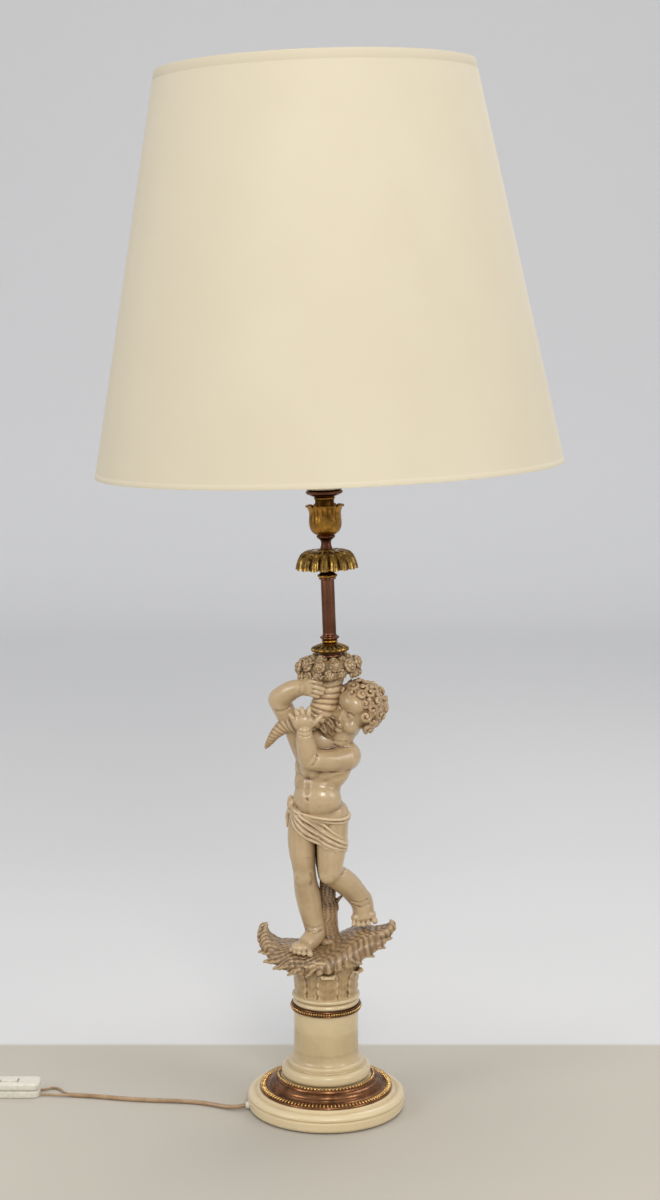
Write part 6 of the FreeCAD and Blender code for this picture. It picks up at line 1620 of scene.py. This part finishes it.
class LAMP_OT_stump(bpy.types.Operator):
    """Carve the broken tree trunk that stands behind the legs, with its bark and its twig"""
    bl_idname = "lamp.stump"
    bl_label = "Tree stump"

    def execute(self, context):
        trunk = [roll([(3, 4, 170, 12.6), (2.4, 4, 178, 10.8), (1.8, 3.4, 190, 10.2), (1.6, 3, 203, 10.1),
                       (1.4, 3, 210, 9.6)]),
                 roll([(1.6, 2, 208, 8.6), (1.6, 1.4, 222, 8.2), (1.6, 1.6, 236, 8.0), (0.6, 2.4, 250, 8.2),
                       (-1, 4, 264, 8.4)]),
                 roll([(-3, 4, 236, 5.0), (-6.0, 5, 250, 5.0), (-8, 6, 266, 5.4)]),
                 roll([(6, 3, 206, 3.2), (11, 3.4, 211, 2.4), (15.4, 4, 215.4, 1.5), (17.4, 4.4, 217, 0.8)]),
                 roll([(10, 3, 203, 3.2), (10.6, 2, 208.6, 2.4), (9.4, 1.4, 213, 1.2)]),
                 roll([(-6, 0, 205, 3.0), (-7.4, -1.0, 211, 2.4), (-6.6, -1.2, 216.4, 1.2)]),
                 lump((8, 8, 172), (9, 8, 6)), lump((-6, 10, 172), (8, 8, 6)), lump((2, -6, 171), (8, 6, 5))]
        stump = kneaded("tree_stump_carved", trunk, 0.7, 3)
        places = vertex_array(stump) / MM
        turn = np.arctan2(places[:, 1] - 4, places[:, 0] - 1.5)
        swirl = 0.5 * np.sin(places[:, 2] * 0.21) + 0.24 * np.sin(places[:, 2] * 0.53 + 1)
        bark = 0.42 * np.abs(np.sin(turn * 7 + swirl * 2.4)) ** 0.6 - 0.42
        bark += 0.12 * np.sin(places[:, 2] * 2.1 + 3 * np.sin(turn * 4))
        set_vertices(stump, (places + normal_array(stump) * bark[:, None]) * MM)
        smooth(stump, 80)
        mark_recess(stump, 6, 0.35)
        marks = stump.data.attributes["recess"].data
        values = read_values(marks, "value")
        # Painted shadow: from 201 mm up the glaze value is raised, so the upper trunk between the legs reads
        # dark as if in shade
        painted_shadow_above = np.clip((vertex_array(stump)[:, 2] / MM - 201) / 8, 0, 1)
        marks.foreach_set("value", np.clip(values + 0.32 * painted_shadow_above, 0, 1))
        finish_piece(stump, "carved_dark", "stump", "tree_stump")
        return {"FINISHED"}


PLATFORM_LINE = (
    # across, top of the middle, height of the edge, half width
    (-66.0, 181.0, 172.0, 5.0), (-62.0, 173.5, 163.5, 13.0), (-56.0, 171.0, 157.5, 21.0),
    (-48.0, 170.5, 153.0, 28.0), (-38.0, 170.0, 149.5, 33.5), (-25.0, 168.6, 147.5, 38.0),
    (-10.0, 168.0, 148.0, 40.5), (4.0, 170.0, 150.5, 41.0), (16.0, 176.4, 154.0, 40.0),
    (26.0, 181.6, 157.5, 37.0), (36.0, 184.2, 161.5, 33.0), (46.0, 183.4, 166.0, 27.0),
    (56.0, 180.6, 171.0, 18.5), (62.0, 180.6, 175.5, 11.0), (66.0, 184.5, 180.0, 4.5))


class LAMP_OT_platform(bpy.types.Operator):
    """Carve the two great leaves that carry the child, their tips curled up and their edges torn"""
    bl_idname = "lamp.platform"
    bl_label = "Leaf platform"

    def execute(self, context):
        settle()
        rows, across = 121, 61
        bpy.ops.mesh.primitive_grid_add(x_subdivisions=rows - 1, y_subdivisions=across - 1, size=2.0)
        sheet = named("leaf_platform_carved")
        found = vertex_array(sheet)
        table = np.array(PLATFORM_LINE)
        x = table[0, 0] + (found[:, 0] + 1) / 2 * (table[-1, 0] - table[0, 0])
        u = found[:, 1]
        top, edge, wide = (np.interp(x, table[:, 0], table[:, column]) for column in (1, 2, 3))
        torn = 1 - 0.13 * (1 - np.abs(np.sin(x * 0.33 + 0.6)) ** 0.55) * u ** 4
        reach = wide * np.sin(u * math.pi / 2 * 0.97) * torn
        height = top - (top - edge) * np.abs(u) ** 2.3 - 0.8 * np.abs(np.sin(x * 0.33 + 0.6)) * u ** 6
        set_vertices(sheet, np.stack([x, reach, height], axis=1) * MM)
        modify(sheet, "SOLIDIFY", thickness=3.2 * MM, offset=-1)
        pieces = [sheet, lump((-10, 0, 158), (39, 35, 9.5), (0, -3, 0)),
                  lump((16, 0, 163), (27, 33, 13.0), (0, -16, 0)),
                  lump((34, 2, 172), (20, 24, 10.0), (0, -6, 0)), lump((-1, 0, 152), (37.5, 37.5, 8)),
                  *self.tips()]
        platform = kneaded("leaf_platform_carved", pieces, 0.8, 3)
        places = vertex_array(platform) / MM
        x, depth, high = places[:, 0], np.abs(places[:, 1]), places[:, 2]
        left = np.clip((2 - x) / 10, 0, 1)
        flow = (depth * 1.05 + (x + 66) * 0.2 - (high - 160) * 0.5) / 4.8
        ribs = (x * 0.9 - depth * 0.55 + (high - 170) * 0.2) / 6.6
        relief = left * ridges(flow * math.pi + 1.2 * np.sin(x * 0.23 + depth * 0.1))
        relief += (1 - left) * ridges(ribs * math.pi + 1.1 * np.sin(depth * 0.3 + x * 0.12))
        shown = np.clip((high - 146) / 6, 0, 1)
        relief += 0.5 * np.sin(x * 0.9 + depth * 0.35) * np.sin(depth * 0.8 - x * 0.25)
        push = normal_array(platform) * (0.44 * relief * shown)[:, None]
        set_vertices(platform, (places - push) * MM)
        thinned(platform, 170000)
        smooth(platform, 80)
        finish_piece(mark_recess(platform, 8, 0.55), "carved_dark", "leaves",
                     "leaf_platform")
        return {"FINISHED"}

    def tips(self):
        """The curled tips, and the torn points below them."""
        curls = [leaf([(-46, 0, 165, 19), (-57, 0, 166.5, 18), (-63, 0, 172.0, 14.5), (-65.2, 0, 179, 10),
                       (-63, 0, 185.4, 6), (-58.8, 0, 188.6, 1.4)], (0, 1, 0), teeth=4, tooth=0.16, cup=0.16,
                      thick=3.0, veins=0.5, along=40),
                 leaf([(44, 0, 183, 18), (56, 0, 179.6, 14), (63.5, 0, 180.6, 9), (67.2, 0, 185, 5.4),
                       (66.6, 0, 189.4, 3.4), (63.4, 0, 190.6, 1.2)], (0, 1, 0), teeth=4, tooth=0.2,
                      cup=-0.1, thick=2.6, veins=0.5, along=40)]
        for y in (-13.0, -4.5, 4.5, 13.0):
            curls.append(roll([(-50, y, 165, 6.4), (-57, y, 167.5, 7.0), (-60.6, y * 0.85, 174.5, 5.2),
                               (-61.4, y * 0.6, 181.6, 3.2), (-59.4, y * 0.4, 187.4, 1.3)]))
            curls.append(roll([(52, y * 0.8, 178.6, 5.0), (60.5, y * 0.6, 181.2, 4.2),
                               (64.6, y * 0.35, 186.4, 2.6), (65.4, y * 0.2, 189.8, 1.5)]))
        for side in (-1, 1):
            for foot, tip, wide in (((-50, 17, 166), (-66.8, 15, 164.2), 4.6),
                                    ((-46, 24, 161), (-61.8, 21, 155.6), 4.8),
                                    ((-38, 30, 158), (-52, 29, 150.8), 5.0),
                                    ((-26, 35, 156), (-38, 37, 146.6), 5.0),
                                    ((-12, 38, 156), (-20, 42, 146.0), 5.0),
                                    ((50, 14, 178), (66.4, 9, 176.6), 4.2),
                                    ((44, 20, 173), (59, 17, 169.0), 4.4),
                                    ((36, 26, 168), (48, 25, 162.4), 4.6),
                                    ((26, 32, 164), (36, 33, 157.0), 4.8)):
                middle = [(foot[axis] + tip[axis]) / 2 for axis in range(3)]
                curls.append(leaf([(foot[0], side * foot[1], foot[2], wide),
                                   (middle[0], side * middle[1], middle[2], wide * 0.92),
                                   (tip[0], side * tip[1], tip[2], 0.5)],
                                  (0.35, side * -0.8, 0.5), teeth=2, tooth=0.1, cup=0.3, thick=2.0,
                                  along=18, across=9))
        return curls


class LAMP_OT_capital(bpy.types.Operator):
    """Carve the capital: a bell with two rows of broad leaves, on a smooth glazed foot"""
    bl_idname = "lamp.capital"
    bl_label = "Capital"

    def execute(self, context):
        bell = turned("capital_bell", [
            (8.0, 118.4, 0), (29.2, 118.4), (29.6, 124.0), (29.4, 134.0, 3.0), (30.6, 143.0, 3.0),
            (34.0, 151.0, 2.0), (37.6, 157.0), (37.0, 160.0), (8.0, 160.0, 0), (8.0, 118.4, 0)], 0.8,
            steps=96, leaning=False)
        leaves = [bell]
        rows = ((0, dict(teeth=4, tooth=0.2, cup=0.12, veins=0.2), (
                    (30.2, 118.6, 8.6), (30.9, 126.0, 10.2), (31.4, 134.0, 10.8), (32.6, 140.6, 10.4),
                    (35.0, 144.6, 9.2), (37.0, 144.8, 7.8), (37.6, 142.8, 5.6))),
                (30, dict(teeth=5, tooth=0.24, cup=0.14, veins=0.25), (
                    (29.8, 119.4, 4.0), (30.0, 130.0, 6.6), (30.6, 139.0, 9.6), (33.4, 148.6, 11.4),
                    (37.2, 154.6, 9.6), (39.8, 156.4, 6.6), (40.4, 154.0, 3.4))))
        for index in range(6):
            for offset, shape, outline in rows:
                turn = math.radians(-87 + index * 60 + offset)
                out = Vector((math.cos(turn), math.sin(turn), 0))
                spine = [(out.x * reach, out.y * reach, height, wide) for reach, height, wide in outline]
                leaves.append(leaf(spine, (-math.sin(turn), math.cos(turn), 0), thick=2.0, **shape))
        capital = joined("capital_carved", *leaves)
        modify(capital, "REMESH", mode="VOXEL", voxel_size=0.62 * MM)
        modify(capital, "SMOOTH", factor=0.5, iterations=1)
        thinned(capital, 180000)
        smooth(capital, 80)
        finish_piece(mark_recess(capital, 8, 0.6), "carved_dark", "capital", "capital")
        foot = turned("capital_foot", [
            (20.0, 113.6, 0), (30.9, 113.6, 0.3), (31.4, 114.4, 0.3), (33.2, 114.9), (34.3, 116.6, 1.0),
            (33.4, 118.4), (31.2, 119.0, 0.4), (30.2, 119.6, 0.3), (20.0, 119.6, 0), (20.0, 113.6, 0)],
            0.6, steps=128, leaning=False)
        finish_piece(mark_recess(foot, 6, 0.5), "carved_dark", "drum")
        return {"FINISHED"}


# --- shade -----------------------------------------------------------------------------------------
SHADE_SHIFT = 6.0
SHADE_LOW = (225.0, 184.0)
SHADE_TOP = (151.0, 561.0)
SHADE_MEAN_RADIUS = 188.0


def shade_radius(along):
    share = (along - SHADE_LOW[1]) / (SHADE_TOP[1] - SHADE_LOW[1])
    return SHADE_LOW[0] + (SHADE_TOP[0] - SHADE_LOW[0]) * share


def wall_at(along, out=0.0):
    """A point of the shade's outline, so far outside its cloth, in mm."""
    return shade_radius(along) + out, along


def wrap_map(item):
    """Lay the piece's own map round its upright axis, in metres, before it leaves the origin."""
    mesh = item.data
    places = vertex_array(item)
    layer = mesh.uv_layers.new(name="cloth")
    corners = read_values(mesh.loops, "vertex_index", kind=np.int64)
    starts = read_values(mesh.polygons, "loop_start", kind=np.int64)
    totals = read_values(mesh.polygons, "loop_total", kind=np.int64)
    turn = np.arctan2(places[corners, 0], -places[corners, 1])
    first = np.repeat(turn[starts], totals)
    turn = first + (turn - first + math.pi) % FULL_TURN - math.pi
    values = np.stack([turn * SHADE_MEAN_RADIUS, places[corners, 2]], axis=1) * MM
    layer.data.foreach_set("uv", values.ravel())


def shade_shell(name, outline, finish, *nodes):
    """A shell of the shade, turned upright and then set leaning on the stem."""
    item = in_millimetres(turned(name, outline, 0.0, steps=192, leaning=False))
    wrap_map(item)
    smooth(place_on_stem(item, x=SHADE_SHIFT), 40)
    return finish_piece(item, "shade_fabric", finish, *nodes, body="shade")


class LAMP_OT_shade(bpy.types.Operator):
    """Wrap the tall shade: a woven cloth cover with turned hems, over a stiff pale lining"""
    bl_idname = "lamp.shade"
    bl_label = "Shade"

    def execute(self, context):
        wall = context.scene.lamp_detail.shade_wall / MM
        low, high = SHADE_LOW[1], SHADE_TOP[1]
        foot, head = shade_radius(low), shade_radius(high)
        proud = 0.18
        outer = [(foot - wall / 2, low + 0.1), (foot + proud, low), (foot + proud + 0.1, low + 0.8),
                 wall_at(low + 4.4, proud), wall_at(low + 4.8),
                 *map(wall_at, np.linspace(low + 5.5, high - 9.5, 26)),
                 wall_at(high - 9.0), wall_at(high - 8.7, proud),
                 (head + proud, high - 0.8), (head + proud * 0.5, high), (head - wall / 2, high - 0.1)]
        inner = [wall_at(along, -wall / 2) for along in np.linspace(high - 0.1, low + 0.1, 24)]
        shade_shell("shade_cloth", [*outer, *inner[1:]], "shade_outer", "shade_cover")
        face = [wall_at(along, -wall / 2 - 0.02) for along in np.linspace(low + 0.2, high - 0.2, 24)]
        back = [wall_at(along, -wall) for along in np.linspace(high - 0.2, low + 0.2, 24)]
        shade_shell("shade_lining", [*face, *back, face[0]], "shade_inner")
        self.hems(wall)
        return {"FINISHED"}

    def hems(self, wall):
        """The cloth turned in over both rims, glued down in a narrow band inside."""
        for name, start, end in (("hem_low", SHADE_LOW[1] + 0.1, SHADE_LOW[1] + 9.0),
                                 ("hem_top", SHADE_TOP[1] - 8.5, SHADE_TOP[1] - 0.1)):
            inside, glued = -wall - 0.55, -wall + 0.1
            outline = [wall_at(start, inside), wall_at(end, inside), wall_at(end, glued),
                       wall_at(start, glued), wall_at(start, inside)]
            shade_shell(name, outline, "shade_outer")


# --- switch and plug -------------------------------------------------------------------------------
def rounded_box(name, low, high, upright, edge, segments=5):
    """A moulded box between two corners, in mm, with its upright edges and then its rims rounded."""
    settle()
    bpy.ops.mesh.primitive_cube_add(size=1.0)
    item = named(name)
    item.location = (Vector(low) + Vector(high)) / 2
    item.scale = Vector(high) - Vector(low)
    freeze(item)
    for reach, rims in ((upright, False), (edge, True)):
        bpy.ops.object.mode_set(mode="EDIT")
        bpy.ops.mesh.select_all(action="DESELECT")
        bpy.ops.mesh.select_mode(type="EDGE")
        shape = bmesh.from_edit_mesh(item.data)
        for line in shape.edges:
            first, second = (vert.co for vert in line.verts)
            level = abs(first.z - second.z) < 1e-4
            slopes = [abs(face.normal.z) for face in line.link_faces]
            rim = level and len(slopes) == 2 and max(slopes) > 0.9 and min(slopes) < 0.1
            line.select_set(rim if rims else not level)
        bmesh.update_edit_mesh(item.data)
        bpy.ops.mesh.bevel(offset=reach, segments=segments, profile=0.5)
        bpy.ops.object.mode_set(mode="OBJECT")
    return item


def moulded(item, *nodes, body="root"):
    """Finish a plastic moulding made in mm."""
    item.scale = (MM, MM, MM)
    freeze(item)
    smooth(item, 40)
    return finish_piece(item, "white_plastic", "white_plastic", *nodes, body=body)


class LAMP_OT_switch(bpy.types.Operator):
    """Mould the switch on the flex: two shells with a parting line, the rocker and its frame"""
    bl_idname = "lamp.switch"
    bl_label = "Switch"

    def execute(self, context):
        x0, x1, y0, y1 = SWITCH_LEFT, SWITCH_RIGHT, 16.5, 41.5
        lower = rounded_box("switch_lower", (x0, y0, 0.1), (x1, y1, 7.3), 6.0, 1.2)
        moulded(lower, "switch_lower_shell")
        upper = rounded_box("switch_upper", (x0, y0, 7.55), (x1, y1, 14.9), 6.0, 2.2)
        middle, y, wide = SWITCH_MIDDLE.x, 29, 4.5
        bars = ((-11.4, 11.4, y - 7.2, y - wide - 0.6), (-11.4, 11.4, y + wide + 0.6, y + 7.2),
                (-11.4, -9.3, y - 7.2, y + 7.2), (9.3, 11.4, y - 7.2, y + 7.2))
        frame_parts = [rounded_box("rocker_frame", (middle + left, front, 13.0),
                                   (middle + right, rear, 15.0), 0.8, 0.5, 3)
                       for left, right, front, rear in bars]
        for end in (x0 + 9.5, x1 - 9.5):
            for index in range(3):
                place = end + (index - 1) * 2.6
                frame_parts.append(rounded_box("grip_rib", (place - 0.7, 22, 13.6), (place + 0.7, 36, 15.0),
                                               0.6, 0.4, 3))
        upper = joined("switch_upper", upper, *frame_parts)
        opening = rounded_box("rocker_opening", (middle - 9.35, y - wide - 0.5, 7.0),
                              (middle + 9.35, y + wide + 0.5, 16.0), 0.3, 0.1, 1)
        modify(upper, "BOOLEAN", object=opening, operation="DIFFERENCE", solver="EXACT")
        bpy.data.objects.remove(opening)
        moulded(upper, "switch_upper_shell")
        rocker = rounded_box("rocker_key", (middle - 8.5, y - wide, 9.0), (middle + 8.5, y + wide, 16.9),
                             0.7, 0.8)
        modify(rocker, "SUBSURF", levels=1, render_levels=1, subdivision_type="SIMPLE")
        places = vertex_array(rocker)
        on_top = np.clip((places[:, 2] - 14.5) / 2.0, 0, 1)
        places[:, 2] -= on_top * 1.5 * (1 - np.abs(places[:, 0] - middle) / 8.5) ** 1.4
        set_vertices(rocker, places)
        moulded(rocker, "switch_rocker", body="rocker")
        return {"FINISHED"}


class LAMP_OT_plug(bpy.types.Operator):
    """Mould the flat plug with its grips, its two pins and the ribbed sleeve on the flex"""
    bl_idname = "lamp.plug"
    bl_label = "Plug"

    def execute(self, context):
        x0, x1, y0, y1, z1 = -421.0, -387.0, -39.5, -4.5, 13.7
        y, z = -22.0, 6.85
        body = rounded_box("plug_moulding", (x0, y0, 0.05), (x1, y1, z1), 4.0, 4.6)
        bpy.ops.object.mode_set(mode="EDIT")
        bpy.ops.mesh.select_all(action="SELECT")
        bpy.ops.mesh.subdivide(number_cuts=3)
        bpy.ops.object.mode_set(mode="OBJECT")
        places = vertex_array(body)
        share = np.clip((places[:, 0] - x0) / (x1 - x0), 0, 1)
        narrow = 0.62 + 0.38 * np.minimum(share * 1.9, 1.0) ** 0.8
        places[:, 1] = y + (places[:, 1] - y) * narrow
        grips = 0.35 * np.abs(np.sin(places[:, 0] * 1.4)) * (share > 0.3) * (share < 0.85)
        places[:, 1] -= np.sign(places[:, 1] - y) * grips
        set_vertices(body, places)
        moulded(body, "plug_body")
        pins = [roll([(x1 - 1.5, side, z1 / 2, 1.95), (x1 + 9, side, z1 / 2, 1.95),
                      (x1 + 17.2, side, z1 / 2, 1.9), (x1 + 18.8, side, z1 / 2, 1.3)])
                for side in (y - 9.3, y + 9.3)]
        pins = smooth(joined("plug_contacts", *pins), 40)
        finish_piece(pins, "pin_metal", "pins", "plug_pins")
        sleeve = roll([(x0 + 3, y, z, 5.2), (x0 - 4, y, 6.7, 4.6), (x0 - 11, -21.6, 6.2, 3.9),
                       (x0 - 18, -18.4, 4.9, 3.3), (x0 - 23.5, -14.6, 3.5, 2.7)], sides=5)
        places = vertex_array(sleeve)
        ribs = 0.22 * np.sin(places[:, 0] / MM * 2.4)
        places += normal_array(sleeve) * ribs[:, None] * MM
        places[:, 2] = np.maximum(places[:, 2], 0.2 * MM)
        set_vertices(sleeve, places)
        sleeve.name = "plug_sleeve"
        smooth(sleeve, 60)
        finish_piece(sleeve, "white_plastic", "white_plastic")
        return {"FINISHED"}


# --- finishes of the CAD nodes that stay -----------------------------------------------------------
NODE_FINISH = {
    "felt": "felt", "ivory_resin": "plinth", "carved_skin": "skin", "carved_dark": "capital",
    "gilt_copper": "copper", "gilt_brass": "brass", "steel": "steel", "holder_metal": "holder",
    "insulator": "insulator", "pin_metal": "pins", "bulb_glass": "bulb", "shade_fabric": "shade_outer",
    "white_wire": "white_wire", "white_plastic": "white_plastic", "gold_flex": "flex",
}
OWN_FINISH = {"column_drum": "drum", "drum_bead_ring": "gilt", "gilt_step_ring": "step",
              "drip_pan": "bronze", "plug_body": "white_plastic"}


class LAMP_OT_finishes(bpy.types.Operator):
    """Give every CAD node that is left showing its finish"""
    bl_idname = "lamp.finishes"
    bl_label = "Finishes of the turned parts"

    def execute(self, context):
        slots = {part["node"]: part["material_slot"] for part in frame["record"]["subparts"]}
        for name, item in frame["nodes"].items():
            finish = OWN_FINISH.get(name) or NODE_FINISH[slots[name]]
            for place in item.material_slots:
                place.material = MATERIALS[finish]
        return {"FINISHED"}


class LAMP_PT_panel(bpy.types.Panel):
    """Sizes, finishes and the pieces of the lamp"""
    bl_idname = "LAMP_PT_panel"
    bl_label = "Figural lamp"
    bl_space_type = "VIEW_3D"
    bl_region_type = "UI"
    bl_category = "Lamp"

    def draw(self, context):
        for title, group in (("Finish", "lamp_finish"), ("Detail", "lamp_detail"), ("Flex", "lamp_flex"),
                             ("Stage", "lamp_stage")):
            box = self.layout.box()
            box.label(text=title)
            settings = getattr(context.scene, group)
            for key in settings.bl_rna.properties.keys():
                if key not in ("rna_type", "name"):
                    box.prop(settings, key)
        for operator in OPERATORS:
            self.layout.operator(operator.bl_idname)


OPERATORS = (LAMP_OT_stage, LAMP_OT_finishes, LAMP_OT_base, LAMP_OT_capital, LAMP_OT_platform,
             LAMP_OT_stump, LAMP_OT_figure, LAMP_OT_head, LAMP_OT_hair, LAMP_OT_drape, LAMP_OT_horn,
             LAMP_OT_flowers, LAMP_OT_stem, LAMP_OT_shade, LAMP_OT_switch, LAMP_OT_plug, LAMP_OT_flex)
GROUP_CLASSES = {"lamp_finish": LampFinish, "lamp_detail": LampDetail, "lamp_flex": LampFlex,
                 "lamp_stage": LampStage}


def register():
    for item in (*GROUP_CLASSES.values(), *OPERATORS, LAMP_PT_panel):
        bpy.utils.register_class(item)
    for name, item in GROUP_CLASSES.items():
        setattr(bpy.types.Scene, name, bpy.props.PointerProperty(type=item))


def unregister():
    for name in GROUP_CLASSES:
        delattr(bpy.types.Scene, name)
    for item in reversed((*GROUP_CLASSES.values(), *OPERATORS, LAMP_PT_panel)):
        bpy.utils.unregister_class(item)


def main():
    register()
    build_materials()
    for operator in OPERATORS:
        family, action = operator.bl_idname.split(".")
        getattr(getattr(bpy.ops, family), action)()
    settle()


if __name__ == "__main__":
    main()
